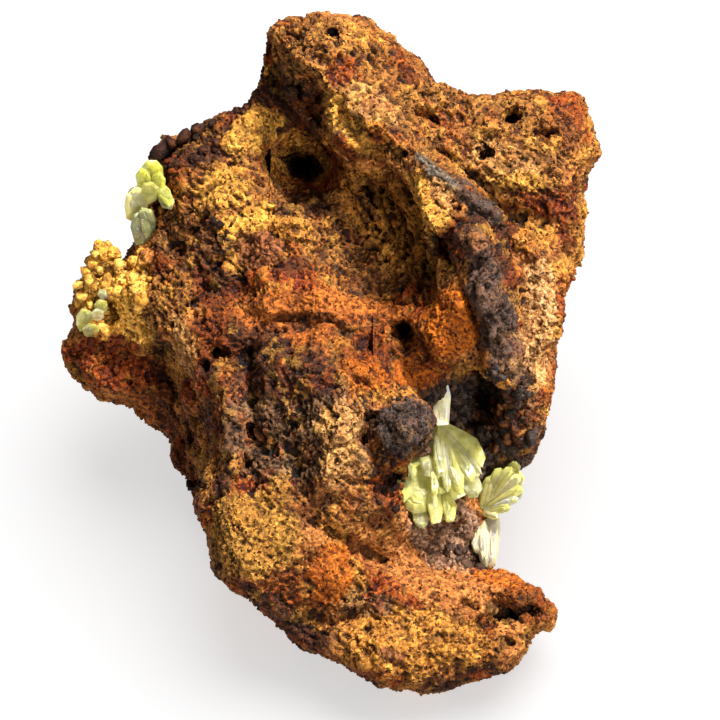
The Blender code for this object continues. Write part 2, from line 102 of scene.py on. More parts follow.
# Stains on the show face: where they lie on the view, half width, half height and turn, mineral, strength.
# A later stain lies over an earlier one.
STAINS = {
    "peak": (325, 62, 75, 48, 0, "golden_brown", 1.0),
    "peak_top_gold": (365, 35, 25, 12, -20, "ochre", 0.7),
    "peak_brick": (343, 68, 20, 14, 30, "brick", 0.75),
    "peak_left_shade": (300, 104, 12, 48, 32, "umber", 0.85),
    "peak_foot": (300, 100, 20, 30, 30, "umber", 0.6),
    "wing": (210, 190, 85, 70, 0, "golden_brown", 0.9),
    "wing_nodules": (185, 155, 45, 20, 20, "umber", 0.95),
    "wing_gold_top": (255, 128, 38, 16, 15, "gold", 0.6),
    "wing_gold_mid": (222, 190, 28, 18, 20, "gold", 0.6),
    "wing_low": (190, 240, 35, 30, 0, "umber", 0.6),
    "gold_patch": (248, 222, 34, 15, 25, "gold", 0.95),
    "purple_lumps": (258, 248, 30, 18, 0, "mauve", 0.95),
    "dark_lumps": (222, 242, 18, 14, 0, "umber", 0.8),
    # painted shade in the cave
    "cave": (292, 168, 40, 28, -22, "painted_hole_shade", 1.0),
    "cave_ledges": (316, 205, 45, 20, 10, "umber", 0.8),
    "bowl": (345, 250, 60, 38, 10, "golden_brown", 0.95),
    "bowl_shade": (350, 232, 40, 22, -20, "umber", 0.5),
    "bowl_gold": (292, 232, 32, 12, -20, "ochre", 0.8),
    "bowl_dark": (300, 268, 30, 10, 10, "umber", 0.8),
    "bowl_foot": (372, 285, 32, 10, 0, "umber", 0.6),
    "plateau": (480, 135, 105, 60, -10, "golden_brown", 1.0),
    "ridge_face": (376, 104, 34, 15, -42, "tan", 0.6),
    "plateau_corner": (570, 125, 26, 30, 0, "rust", 0.5),
    "plateau_rust": (430, 122, 28, 12, -20, "brick", 0.6),
    "plateau_tan": (500, 160, 40, 16, -10, "tan", 0.6),
    "plateau_low": (552, 210, 34, 20, -20, "brick", 0.6),
    "crest_gold": (355, 125, 50, 15, -42, "gold", 0.5),
    "crest_brick": (384, 136, 20, 11, -40, "brick", 0.8),
    "crest_gold_low": (425, 200, 34, 18, -52, "gold", 0.6),
    "wall": (392, 222, 74, 34, -50, "ochre", 0.95),
    "wall_gold": (372, 190, 20, 30, -20, "golden_brown", 0.6),
    "seam": (460, 190, 58, 11, -41, "slate", 1.0),
    "seam_black": (492, 213, 28, 7, -42, "slate_black", 1.0),
    "seam_grey": (436, 170, 24, 9, -42, "grey_vein", 0.9),
    "seam_facet": (441, 193, 12, 20, 36, "tan", 0.85),
    "seam_gold": (524, 180, 16, 9, 0, "gold", 0.6),
    "right_corner": (537, 238, 28, 14, 30, "ochre", 0.7),
    "right_side": (535, 335, 18, 80, -8, "buff", 0.95),
    "nose_top": (480, 243, 24, 20, 0, "slate", 1.0),
    "nose": (489, 308, 19, 64, 10, "slate", 1.0),
    "nose_head": (477, 240, 17, 14, 0, "mauve", 0.6),
    "nose_side": (512, 345, 9, 45, 6, "slate_black", 0.8),
    "nose_left": (455, 262, 16, 14, 0, "umber", 0.6),
    "cheek": (447, 322, 31, 38, -10, "orange", 1.0),
    # painted shade in the hole
    "hole": (402, 335, 17, 15, 0, "painted_hole_shade", 1.0),
    "hole_rim": (385, 318, 18, 9, -20, "umber", 0.6),
    "band": (310, 312, 95, 26, -3, "salmon", 1.0),
    "band_left": (238, 300, 30, 18, 20, "rust", 0.6),
    "band_right": (385, 350, 58, 34, -18, "rust", 0.85),
    "band_right_rust": (362, 372, 24, 22, 0, "orange", 0.7),
    # painted shade under the band
    "under_band": (270, 365, 34, 40, 0, "umber", 0.9),
    "left_column": (234, 430, 16, 44, 4, "umber", 0.9),
    # painted shade under the band's lip
    "undercut": (294, 322, 42, 4, 6, "painted_hole_shade", 0.7),
    "left_middle": (168, 300, 30, 35, 0, "golden_brown", 0.9),
    "left_tan": (182, 345, 12, 34, 20, "tan", 0.7),
    # painted shade in the small hole
    "small_hole": (217, 353, 8, 10, 0, "painted_hole_shade", 1.0),
    "yellow_lobe": (112, 288, 40, 46, 0, "straw", 1.0),
    "lobe_foot": (124, 326, 38, 20, -12, "straw", 0.85),
    "lobe_red": (112, 366, 58, 28, -18, "brick", 1.0),
    "flank": (165, 425, 62, 48, -48, "rust", 0.85),
    "flank_rust": (196, 500, 14, 30, 0, "rust", 0.9),
    "flank_orange": (140, 410, 26, 12, -40, "orange", 0.5),
    "lower_face": (288, 420, 72, 64, 0, "drab", 0.95),
    "lower_face_dark": (262, 440, 40, 34, 0, "umber", 0.35),
    # painted shade below the band
    "below_band": (286, 375, 50, 28, 0, "umber", 1.0),
    "rib_dark": (212, 420, 14, 30, 0, "umber", 0.8),
    "tan_rise": (343, 448, 24, 50, 8, "tan", 0.9),
    "lower_rust": (352, 498, 26, 18, 0, "terracotta", 0.5),
    "olive": (250, 535, 48, 48, -30, "olive", 1.0),
    "olive_dark": (305, 500, 30, 25, 0, "umber", 0.5),
    "low_left_rust": (292, 592, 34, 18, -38, "rust", 0.8),
    # painted shade along the lower-left edge, which turns away from the light
    "low_left_painted_shade": (284, 614, 56, 15, -38, "umber", 0.95),
    "toe_left_dark": (345, 640, 26, 14, -30, "umber", 0.7),
    "toe_top": (430, 560, 98, 36, -26, "terracotta", 1.0),
    "toe_orange": (330, 575, 26, 28, 0, "orange", 0.9),
    "toe_umber": (378, 515, 34, 20, -30, "umber", 0.5),
    "toe_front": (415, 642, 78, 36, -4, "ochre", 1.0),
    "toe_tip": (527, 603, 32, 22, -30, "rust", 0.85),
    "toe_tip_orange": (497, 577, 36, 10, -22, "orange", 0.8),
    "toe_grey": (368, 603, 28, 14, 10, "drab", 0.8),
    "toe_mauve_left": (395, 655, 15, 10, 0, "mauve", 0.9),
    "toe_mauve_right": (452, 668, 12, 9, 0, "mauve", 0.6),
    # painted shade in the toe's crevice
    "toe_crevice": (505, 616, 32, 8, -25, "painted_hole_shade", 0.95),
    "above_ball": (420, 376, 26, 14, -10, "orange", 0.9),
    "vug": (465, 435, 76, 62, 0, "slate_black", 1.0),
    "pillar": (516, 420, 30, 52, 0, "umber", 0.7),
    # painted shade in the gap beside the ball
    "ball_gap": (366, 432, 12, 28, 0, "painted_hole_shade", 0.9),
    "ball": (405, 425, 34, 40, 0, "slate_black", 1.0),
    "seam_end": (524, 222, 18, 12, -20, "ochre", 0.85),
    "lining": (445, 530, 44, 34, -40, "lilac", 0.95),
}

# How the stains' outlines sway: by how many mm, the size of the sways in mm, and their random field.
STAIN_SWAY = ((1.3, 5.0, 5), (0.8, 1.6, 6))

# Flecks of other minerals all over the spongy rock, and their strength.
FLECKS = {"brick": 0.35, "gold": 0.22, "umber": 0.3}
FLECK_SIZE, FIRST_FLECK_FIELD = 3.2, 40

# How the forms below sway: by how many pixels, the size of the sways in mm, and their random field.
FORM_SWAY = ((5, 7.0, 3), (4, 2.5, 4))

# Swells and dents: where on the view, half width, half height and turn, and how far the rock comes forward,
# in mm.
SWELLS = {
    "plateau_hole": (512, 120, 12, 9, 0, -3.5),
    "plateau_left_hole": (432, 122, 20, 8, -20, -2.5),
    "plateau_low_hole": (484, 156, 10, 8, 0, -2.6),
    "plateau_right_hole": (545, 134, 12, 6, -10, -2.0),
    "plateau_foot_hole": (478, 193, 13, 6, -35, -2.4),
    "plateau_basin": (450, 110, 40, 22, -20, -1.8),
    "peak_hole": (331, 36, 10, 6, 60, -1.8),
    "peak_crown": (330, 55, 46, 26, 20, 1.6),
    "ridge_hole": (342, 115, 6, 6, 0, -1.2),
    "cave": (294, 168, 42, 27, -20, -7.0),
    "cave_deep": (301, 165, 31, 19, -15, -9.0),
    "bowl": (345, 242, 62, 34, 12, -1.5),
    "wall_hollow": (444, 244, 12, 26, 20, -3.0),
    "wall_foot": (428, 276, 14, 10, 0, -0.6),
    "hole": (400, 334, 16, 14, 0, -4.0),
    "small_hole": (217, 353, 9, 11, 0, -3.0),
    "nose_head": (478, 243, 25, 22, 0, 3.2),
    "nose_body": (489, 308, 20, 68, 10, 2.6),
    "cheek": (450, 332, 50, 54, -10, 1.2),
    "lump_a": (262, 248, 24, 14, -20, 2.0),
    "lump_b": (226, 242, 14, 12, 0, 1.5),
    "wing_dip": (238, 160, 26, 14, -20, -1.6),
    "wing_rise": (226, 196, 30, 14, 25, 1.4),
    "flank_pit_a": (150, 372, 10, 7, -20, -2.2),
    "flank_pit_b": (128, 380, 7, 5, -20, -1.6),
    "flank_pit_c": (192, 440, 9, 14, -20, -2.5),
    "left_pit": (196, 318, 10, 8, 0, -1.6),
    "lower_pit_a": (246, 460, 10, 8, 0, -2.0),
    "lower_pit_b": (296, 425, 12, 9, 30, -2.0),
    "lower_pit_c": (362, 438, 8, 12, 0, -2.2),
    "lower_pit_d": (318, 520, 22, 9, -30, -1.2),
    "toe_hollow": (372, 555, 30, 14, -30, -1.6),
    "toe_pit_a": (470, 606, 14, 7, -10, -2.4),
    "toe_pit_b": (512, 640, 10, 9, 0, -2.0),
    "notch": (484, 545, 17, 26, 0, -5.0),
    "knob_a": (104, 252, 9, 9, 0, 2.0),
    "knob_b": (86, 276, 9, 9, 0, 1.8),
    "knob_c": (118, 268, 10, 9, 0, 1.5),
    "knob_d": (90, 310, 12, 10, 0, 1.2),
    "knob_e": (142, 256, 12, 10, 0, 1.6),
    "knob_f": (130, 290, 14, 14, 0, 1.4),
    "ball": (405, 425, 28, 34, 0, 2.4),
    "ball_gap": (364, 432, 12, 26, 0, -2.5),
    "ball_foot": (398, 478, 17, 13, 0, -8.0),
}

# The ridge's left wall, with deep narrow slots: middle, half width, half height and turn on the view.
SLOTTED_WALL = (386, 222, 66, 30, -52)

# Strokes: half width on the view in pixels, how far the rock comes forward in mm, and the line they follow.
STROKES = {
    "crest_rim": (7, 1.3, (
        (296, 56), (316, 74), (334, 94), (336, 130), (358, 160), (392, 180), (420, 208), (448, 238))),
    "seam": (12, 2.6, ((417, 155), (440, 168), (470, 196), (516, 234))),
    "seam_ditch": (6, -1.4, ((428, 148), (462, 170), (500, 206))),
    "seam_facet_ditch": (4, -1.0, ((430, 188), (448, 212), (458, 226))),
    "slot_a": (5, -2.0, ((345, 170), (356, 205), (366, 238))),
    "slot_c": (5, -2.0, ((382, 196), (394, 228), (404, 262))),
    "slot_e": (4, -2.0, ((322, 140), (336, 172), (342, 190))),
    "wall_slot_high": (5, -2.0, ((300, 84), (308, 104), (314, 122))),
    "ledge_a": (6, 2.0, ((262, 204), (300, 208), (340, 194))),
    "ledge_b": (5, 1.6, ((272, 220), (310, 224), (345, 210))),
    "ledge_c": (5, 1.4, ((288, 236), (322, 238), (350, 230))),
    "undercut": (3.0, -1.6, ((256, 327), (272, 326), (284, 319), (300, 317), (318, 321), (332, 321))),
    "undercut_left": (3.0, -0.8, ((222, 330), (238, 326), (250, 330))),
    "nose_left": (6, -1.6, ((455, 262), (470, 300), (480, 350))),
    "nose_crack_a": (2.5, -1.0, ((478, 262), (484, 290), (492, 320), (500, 350))),
    "nose_crack_b": (2.5, -1.0, ((462, 268), (486, 280), (505, 276))),
    "toe_crevice": (9, -5.0, ((478, 622), (505, 612), (530, 606))),
    "toe_rib": (8, 1.4, ((338, 612), (365, 600), (392, 588), (398, 600))),
    "rib_left": (14, 1.8, ((218, 352), (222, 400), (230, 450), (226, 480))),
    "rib_left_valley": (12, -2.4, ((248, 350), (250, 400), (256, 440))),
    "tan_ridge": (16, 2.2, ((352, 372), (344, 410), (332, 450), (326, 480))),
    "tan_valley": (14, -2.0, ((306, 400), (300, 440), (300, 490))),
    "vug_side_valley": (12, -2.6, ((372, 420), (372, 450), (384, 490))),
    "toe_groove": (9, -1.8, ((330, 530), (360, 545), (392, 560))),
    "flank_groove": (8, -2.0, ((150, 345), (176, 395), (196, 420))),
    "wing_groove": (8, -1.8, ((206, 216), (190, 232), (176, 262))),
    "wing_groove_low": (7, -1.6, ((222, 262), (206, 282), (198, 304))),
}

# Hollows of the weathered rock: size of their cells in mm, share of the cells that are hollow, width of a
# hollow as a share of its cell, and the random field that places them.
VOIDS = (3.4, 0.28, 0.44, 21)
ROUND_PORES = (1.25, 0.55, 0.44, 23)
SPECKS = (0.75, 0.60, 0.46, 26)
BOXES = (1.9, 0.45, 0.45, 16)
SLOTS = (1.45, 0.70, 0.32, 28)

# Sizes in mm of what else weathers the rock, and of the sways that bend it all.
CRAG_SIZE, LUMP_SIZE, NODULE_SIZE, NET_SIZE, GRAIN_SIZE = 8.0, 4.0, 2.0, 1.5, 0.9
CHIP_SIZE, SMALL_CHIP_SIZE, PATCH_SIZE = 4.2, 1.9, 5.0
SWAY_SIZE, TREMBLE_SIZE = 2.8, 0.8
NODULE_REACH, NODULE_FOOT = 0.66, 0.45  # as shares of a nodule's cell and of its height

# How deep they go and how high the rest stands, in mm, where the mineral has all of it.
VOID_DEPTH, BOX_DEPTH, PORE_DEPTH, SPECK_DEPTH, SLOT_DEPTH = 1.9, 0.6, 1.3, 0.8, 2.4
CRAG_RISE, LUMP_RISE, CHIP_RISE = 0.9, 0.6, 0.8
NET_RISE, SPONGE_NET_RISE, GRAIN_RISE = 0.10, 0.38, 0.12
SPONGE_SWELL, SLOTTED_SWELL, SETTLE = 0.3, 0.9, 0.2  # these make up for what the hollows take away

# Nudges: where on the view, over how many pixels, and how far the rock moves across the view in pixels.
NUDGES = {
    "lobe_corner": (84, 256, 34, 9, 10),
    "lobe_top": (128, 252, 26, 0, 7),
    "lobe_side": (74, 318, 30, 4, -2),
}

# Cliffs: how far the rock falls back in mm on the right-hand side of a line, over how many pixels,
# at how many pixels it has come forward again, and the line.
CLIFFS = {
    "ridge_wall": (5.0, 9, 95, (
        (266, 26), (282, 46), (298, 60), (316, 74), (330, 86), (337, 97), (334, 118), (338, 137), (358, 161),
        (392, 181), (420, 209), (440, 230), (456, 252))),
    "true_crest": (2.6, 8, 50, ((325, 80), (345, 99), (367, 119), (392, 141), (412, 156))),
    "seam_right": (1.8, 4, 24, ((516, 232), (478, 200), (452, 172), (424, 150))),
    "band_lip": (1.3, 5, 48, ((236, 304), (268, 312), (300, 314), (334, 318), (362, 328), (386, 350))),
    "bowl_lip": (1.5, 12, 60, ((404, 312), (352, 296), (300, 288), (250, 268))),
    "nose_left": (2.6, 5, 26, ((457, 228), (453, 250), (466, 285), (480, 320), (486, 350), (490, 378))),
    "nose_right": (3.2, 6, 36, ((514, 384), (521, 350), (517, 310), (510, 268), (496, 240), (480, 226))),
    "lobe_foot": (2.2, 6, 40, ((66, 342), (92, 336), (120, 340), (152, 350))),
    "flank_edge": (3.0, 14, 60, ((176, 336), (190, 400), (212, 446), (208, 510))),
    "toe_edge": (1.0, 10, 44, ((300, 598), (340, 606), (384, 606), (430, 590), (470, 592), (520, 586))),
    "wing_end": (1.6, 8, 30, ((176, 262), (160, 240), (150, 205), (146, 165))),
}

# Clear minerals: colour, and how milky it is from 0 to 1.
CLEAR = {
    "green": ((0.61, 0.55, 0.14), 0.46),
    "deep_green": ((0.50, 0.46, 0.12), 0.55),
    "lemon": ((0.69, 0.62, 0.16), 0.44),
    "citron": ((0.62, 0.60, 0.08), 0.52),
    "milk": ((0.60, 0.53, 0.18), 0.72),
    "glass": ((0.74, 0.68, 0.28), 0.34),
    "cream": ((0.92, 0.82, 0.60), 0.90),
    "white": ((0.78, 0.75, 0.50), 0.45),
    "frost": ((0.34, 0.29, 0.17), 0.80),
    "moss": ((0.20, 0.20, 0.07), 0.70),
}

# Crystals: clear mineral, thickness in mm, root and tip (place on the view and depth in mm), outline on the
# view.
VUG_CRYSTALS = {
    "core": ("deep_green", 4.0, (425, 440, 5.0), (440, 500, 9.5), (
        (440, 432), (462, 440), (476, 462), (474, 486), (456, 500), (436, 506), (412, 500), (402, 484),
        (406, 466), (424, 452))),
    "leaf_back": ("green", 2.2, (444, 424, 6.5), (482, 456, 10.4), (
        (441, 422), (453, 426), (464, 432), (474, 441), (482, 452), (481, 461), (474, 466), (460, 452),
        (446, 436))),
    "leaf": ("green", 2.6, (440, 424, 7.0), (474, 478, 12.6), (
        (434, 428), (439, 422), (447, 424), (457, 433), (468, 445), (476, 456), (481, 466), (480, 476),
        (470, 480), (458, 478), (446, 464), (437, 448), (432, 437))),
    "low_right": ("glass", 2.4, (456, 468, 9.5), (478, 496, 13.6), (
        (456, 468), (468, 471), (477, 474), (481, 482), (483, 489), (477, 498), (469, 498), (461, 490),
        (455, 480))),
    "wedge": ("lemon", 2.0, (440, 446, 8.5), (461, 498, 14.0), (
        (441, 446), (450, 460), (457, 474), (463, 488), (466, 495), (458, 499), (452, 498), (447, 487),
        (443, 474), (439, 460))),
    "splinter": ("glass", 1.4, (436, 432, 8.5), (442, 476, 13.8), (
        (435, 434), (438, 433), (442, 448), (443, 462), (445, 476), (438, 477), (434, 462), (433, 448))),
    "inner": ("deep_green", 2.4, (434, 452, 7.0), (440, 492, 12.6), (
        (429, 456), (439, 456), (445, 474), (446, 492), (438, 494), (429, 486))),
    "prism_right": ("lemon", 2.4, (446, 486, 9.0), (450, 522, 14.2), (
        (444, 488), (451, 494), (457, 505), (455, 519), (453, 522), (446, 522), (442, 510), (441, 497))),
    "prism_middle": ("green", 2.6, (431, 478, 9.0), (436, 524, 14.8), (
        (426, 480), (437, 480), (441, 496), (443, 513), (441, 522), (432, 525), (428, 511), (425, 497))),
    "block": ("lemon", 4.6, (414, 458, 7.0), (412, 514, 13.4), (
        (400, 464), (408, 459), (422, 460), (431, 472), (434, 486), (432, 502), (427, 512), (414, 514),
        (404, 508), (398, 496), (396, 480))),
    "block_side": ("green", 3.4, (402, 462, 8.0), (402, 500, 13.8), (
        (397, 468), (403, 462), (412, 466), (414, 480), (411, 496), (404, 503), (397, 494), (395, 480))),
    "bright_face": ("glass", 2.4, (426, 456, 9.0), (427, 477, 13.0), (
        (420, 458), (429, 455), (433, 458), (434, 468), (431, 477), (424, 476), (421, 468))),
    "white_tip": ("glass", 2.4, (418, 508, 9.5), (421, 528, 13.0), (
        (412, 507), (420, 509), (427, 511), (428, 524), (424, 529), (418, 527), (413, 521))),
    "chip_a": ("glass", 1.2, (452, 466, 12.4), (458, 486, 14.4), (
        (450, 466), (455, 469), (460, 482), (459, 488), (454, 484), (449, 474))),
    "chip_b": ("lemon", 1.2, (433, 470, 12.0), (434, 494, 13.8), (
        (431, 472), (436, 470), (439, 484), (437, 496), (432, 494), (430, 484))),
    "chip_c": ("green", 1.4, (420, 486, 10.0), (418, 503, 13.0), (
        (412, 486), (421, 484), (425, 493), (422, 503), (413, 502), (408, 494))),
    "fan_core": ("milk", 3.4, (482, 508, 1.0), (512, 480, 7.0), (
        (478, 514), (480, 492), (488, 480), (500, 472), (514, 470), (519, 484), (514, 498), (500, 508),
        (486, 519))),
    "fan_knob_a": ("lemon", 2.6, (506, 476, 3.0), (514, 464, 8.4), (
        (505, 470), (509, 463), (516, 461), (521, 466), (519, 474), (511, 477))),
    "fan_knob_b": ("milk", 2.4, (514, 486, 3.0), (521, 476, 7.6), (
        (514, 474), (520, 471), (525, 477), (523, 486), (516, 488), (512, 481))),
    "fan_knob_c": ("white", 2.2, (512, 496, 3.0), (520, 492, 7.0), (
        (512, 490), (519, 487), (524, 491), (521, 499), (514, 502), (509, 497))),
}

# Thin blades that spread from one place: clear mineral, tip (place on the view and depth in mm), widths in
# pixels at the root, the middle and the tip, and thickness in mm.
LEAF_ROOT = (441, 425, 7.6)
LEAF_BLADES = {
    "blade_back": ("green", (481, 452, 10.4), (5, 9, 5), 1.4),
    "blade_wide": ("lemon", (483, 465, 11.8), (5, 12, 8), 1.6),
    "blade_front": ("green", (473, 481, 13.2), (4, 10, 6), 1.6),
    "blade_thin": ("glass", (482, 474, 13.0), (2, 4, 2), 1.2),
    "blade_low": ("lemon", (461, 494, 14.2), (3, 8, 4), 1.5),
    "blade_hanging": ("glass", (448, 492, 14.2), (3, 6, 3), 1.4),
    "blade_left": ("green", (437, 480, 13.0), (3, 6, 3), 1.4),
}
FAN_ROOT = (481, 512, 3.4)
FAN_BLADES = {
    "fan_1": ("green", (490, 476, 7.6), (4, 6, 4), 1.8),
    "fan_2": ("lemon", (500, 468, 8.6), (4, 6, 5), 1.8),
    "fan_3": ("green", (511, 467, 9.4), (4, 7, 5), 1.8),
    "fan_4": ("milk", (520, 475, 9.2), (4, 7, 5), 1.8),
    "fan_5": ("lemon", (522, 487, 9.0), (4, 7, 5), 1.8),
    "fan_6": ("white", (518, 498, 8.6), (3, 5, 4), 1.6),
    "fan_7": ("lemon", (510, 507, 8.2), (3, 5, 4), 1.6),
    "fan_8": ("milk", (498, 517, 7.4), (3, 4, 3), 1.6),
}
PALE_BLADES = {
    "pale_blade": ("cream", 2.0, (447, 384, 6.0), (441, 424, 10.0), (
        (433, 407), (438, 399), (445, 393), (448, 383), (451, 396), (450, 416), (449, 425), (437, 426),
        (432, 418))),
    "pale_splinter": ("white", 1.2, (444, 396, 8.0), (442, 420, 10.6), (
        (437, 404), (443, 399), (446, 408), (445, 421), (439, 420))),
    "crust_right": ("frost", 4.0, (492, 518, 3.6), (490, 568, 5.6), (
        (484, 520), (491, 516), (499, 515), (501, 530), (499, 548), (496, 566), (487, 569), (483, 548))),
    "crust_middle": ("frost", 4.5, (485, 522, 5.6), (485, 568, 6.6), (
        (477, 526), (485, 519), (491, 534), (491, 553), (487, 568), (480, 561), (476, 543))),
    "crust_left": ("frost", 4.5, (480, 530, 7.4), (478, 556, 7.4), (
        (471, 542), (474, 534), (479, 528), (482, 541), (481, 556), (476, 553))),
    "crust_fibre_a": ("frost", 1.2, (490, 528, 4.6), (489, 560, 5.4), (
        (487, 530), (491, 526), (493, 542), (491, 561), (488, 556))),
    "crust_fibre_b": ("frost", 1.2, (481, 534, 7.8), (482, 560, 7.8), (
        (479, 536), (482, 532), (485, 547), (483, 561), (480, 553))),
    "crust_fibre_c": ("frost", 1.0, (495, 522, 3.4), (494, 545, 4.2), (
        (493, 524), (497, 521), (498, 533), (496, 546), (493, 538))),
}
UPPER_LEFT_CRYSTALS = {
    "crown": ("citron", 3.4, (153, 182, -1.0), (152, 163, 3.2), (
        (141, 179), (141, 167), (147, 160), (157, 160), (163, 167), (164, 179), (156, 188), (146, 186))),
    "crown_left": ("citron", 3.0, (148, 190, -1.0), (141, 174, 2.6), (
        (137, 187), (135, 175), (141, 167), (150, 171), (154, 182), (152, 194), (143, 195))),
    "crown_right": ("citron", 3.0, (156, 192, -1.0), (160, 176, 2.8), (
        (149, 189), (152, 175), (160, 171), (166, 179), (165, 191), (157, 197))),
    "middle": ("lemon", 3.0, (150, 200, -1.0), (149, 186, 3.0), (
        (140, 196), (143, 183), (152, 181), (160, 188), (157, 200), (148, 205))),
    "strand": ("citron", 2.4, (158, 188, 0.0), (168, 201, 2.6), (
        (154, 184), (160, 180), (170, 189), (175, 203), (169, 208), (158, 197))),
    "strand_foot": ("moss", 2.4, (160, 196, -0.5), (168, 206, 1.6), (
        (156, 195), (165, 189), (175, 199), (172, 210), (162, 208))),
    "side": ("milk", 3.0, (143, 212, -3.0), (130, 198, 0.8), (
        (124, 206), (126, 194), (136, 187), (145, 189), (149, 201), (146, 216), (135, 223), (126, 219))),
    "side_tip": ("glass", 2.4, (136, 200, -2.0), (131, 190, 1.0), (
        (125, 197), (130, 188), (139, 185), (144, 194), (139, 205), (129, 206))),
    "foot": ("moss", 3.0, (147, 238, -3.0), (138, 222, -0.4), (
        (130, 227), (133, 214), (144, 209), (155, 220), (156, 240), (147, 252), (136, 249))),
    "foot_small": ("moss", 2.4, (149, 226, -2.0), (144, 212, 0.6), (
        (136, 218), (141, 207), (152, 209), (158, 222), (153, 233), (141, 231))),
}
LEFT_CRYSTALS = {
    "white_knob": ("white", 2.0, (102, 298, -3.0), (102, 291, 0.8), (
        (97, 295), (100, 289), (106, 290), (108, 297), (102, 301))),
    "green_knob": ("green", 2.4, (102, 312, -3.5), (101, 302, 0.2), (
        (94, 304), (99, 299), (107, 301), (108, 309), (102, 315), (95, 312))),
    "white_facet": ("white", 2.2, (98, 320, -3.5), (97, 312, 0.4), (
        (90, 313), (96, 308), (104, 311), (104, 318), (98, 323), (92, 320))),
    "window": ("lemon", 2.6, (86, 326, -4.5), (83, 314, -0.6), (
        (76, 316), (82, 308), (91, 311), (95, 320), (90, 331), (80, 332), (76, 325))),
    "window_low": ("green", 2.4, (90, 334, -4.5), (90, 326, -0.6), (
        (82, 328), (89, 323), (97, 325), (100, 332), (93, 338), (84, 336))),
}

# Rounded lumps that line the hollow and stand on the rock: mineral, smallest and largest radius in mm,
# number, and the spot on the view that they cover: middle, half width, half height and turn.
LUMPS = {
    "vug_roof": ("slate_black", 0.25, 0.9, 46, (505, 385, 26, 16, -20)),
    "vug_wall": ("slate_black", 0.4, 1.3, 44, (508, 430, 30, 32, 60)),
    "vug_wall_red": ("brick", 0.25, 0.6, 12, (506, 430, 30, 34, 60)),
    "vug_wall_mauve": ("mauve", 0.4, 1.1, 30, (500, 428, 30, 34, 60)),
    "vug_floor": ("lilac", 0.25, 0.8, 90, (450, 530, 36, 22, -42)),
    "vug_floor_red": ("mauve", 0.25, 0.7, 30, (440, 520, 30, 20, -42)),
    "vug_left": ("umber", 0.25, 0.8, 50, (386, 480, 14, 34, 10)),
    "vug_lip": ("slate", 0.25, 0.8, 40, (466, 556, 26, 8, -34)),
    "ball": ("slate_black", 0.2, 0.5, 70, (404, 426, 27, 33, 0)),
    "wing_nodules": ("umber", 0.3, 0.9, 60, (188, 152, 36, 16, 22)),
    "wing_edge": ("brick", 0.3, 0.8, 36, (165, 180, 16, 26, -20)),
    "lump_slope": ("mauve", 0.25, 0.8, 30, (256, 250, 30, 16, -10)),
    "dark_slope": ("umber", 0.25, 0.7, 20, (215, 235, 22, 18, 20)),
    "yellow_knobs": ("straw", 0.4, 1.4, 50, (114, 286, 36, 38, 20)),
    "lobe_crumbs": ("brick", 0.3, 0.9, 40, (105, 360, 44, 18, -15)),
    "nose": ("slate", 0.25, 0.6, 8, (492, 320, 13, 46, 10)),
}

# Single knobs: mineral, radius in mm, place on the view and depth in mm.
KNOBS = {
    "lobe_a": ("straw", 1.3, (103, 250, -3.0)), "lobe_b": ("straw", 1.0, (113, 253, -2.5)),
    "lobe_c": ("straw", 1.1, (92, 262, -3.5)), "lobe_d": ("straw", 1.0, (86, 272, -4.0)),
    "lobe_e": ("straw", 0.9, (80, 284, -4.5)), "lobe_f": ("straw", 0.8, (78, 300, -5.0)),
    "lobe_g": ("straw", 1.2, (133, 262, -3.0)), "lobe_h": ("straw", 1.3, (145, 254, -3.0)),
    "lobe_i": ("gold", 1.1, (152, 247, -3.5)), "lobe_j": ("straw", 0.8, (108, 245, -3.5)),
    "lobe_k": ("straw", 0.8, (96, 254, -2.5)), "lobe_l": ("straw", 0.9, (89, 280, -2.5)),
    "lobe_m": ("straw", 1.1, (120, 266, -1.5)), "lobe_n": ("straw", 1.0, (99, 270, -1.5)),
    "wing_a": ("umber", 1.2, (160, 152, -4.0)), "wing_b": ("umber", 1.0, (171, 143, -4.0)),
    "wing_c": ("umber", 1.2, (184, 136, -3.5)), "wing_d": ("umber", 1.0, (198, 129, -3.5)),
    "wing_e": ("umber", 0.9, (212, 124, -3.0)), "wing_f": ("umber", 0.9, (153, 163, -4.5)),
}

# Growth steps: number on each crystal, widths and lengths as shares of the crystal's, how far they slide
# from its middle and how many mm they stand proud.
STEPS_PER_CRYSTAL, STEP_WIDTHS, STEP_LENGTHS = 2, (0.3, 0.6), (0.45, 0.8)
STEP_SLIDE, STEP_LIFTS = 0.25, (0.05, 0.35)
CRYSTAL_SKINS = ((0.66, 0.0), (1.0, 0.34), (0.72, 1.0))  # share of the outline, and of the way to the back
MILK_FADE = 0.25  # how much milkier a crystal's root is than its tip
CRYSTAL_BEVEL = 0.14 * MM
FLAT_ANGLE, BEVEL_ANGLE, SMOOTH_ANGLE = (math.radians(angle) for angle in (4, 18, 25))

# A thin blade's outline: share of the way to its tip, which width it has there, and how much of it.
ROOT, MIDDLE, TIP = range(3)
BLADE_OUTLINE = (
    (0.0, ROOT, -1), (0.45, MIDDLE, -0.9), (0.78, MIDDLE, -1), (0.95, TIP, -0.9), (1.02, TIP, 0.2),
    (0.93, TIP, 1), (0.70, MIDDLE, 1), (0.40, MIDDLE, 0.8), (0.0, ROOT, 1),
)

CRUMB_COUNT = 9000
CRUMB_SIZES = (0.13, 0.40)  # mm
STONE_STRETCH = (0.75, 0.75, 0.6), (1.25, 1.25, 1.0)  # smallest and largest
STONE_WAVES, WAVE_PITCH, FULL_WAVE = 4, 2.2, 6.28
STONE_TONES, STONE_PORES = (0.1, 1.1), 0.15
LUMP_SINK, CRUMB_LIFT = 0.1, 0.05  # of a stone's middle from the rock's skin, as a share of the stone's size
LUMP_FOOT, CRUMB_FOOT = 2 * MM, 1.5 * MM  # no stones lie lower

COLOUR_RANGE = (0.001, 0.9)

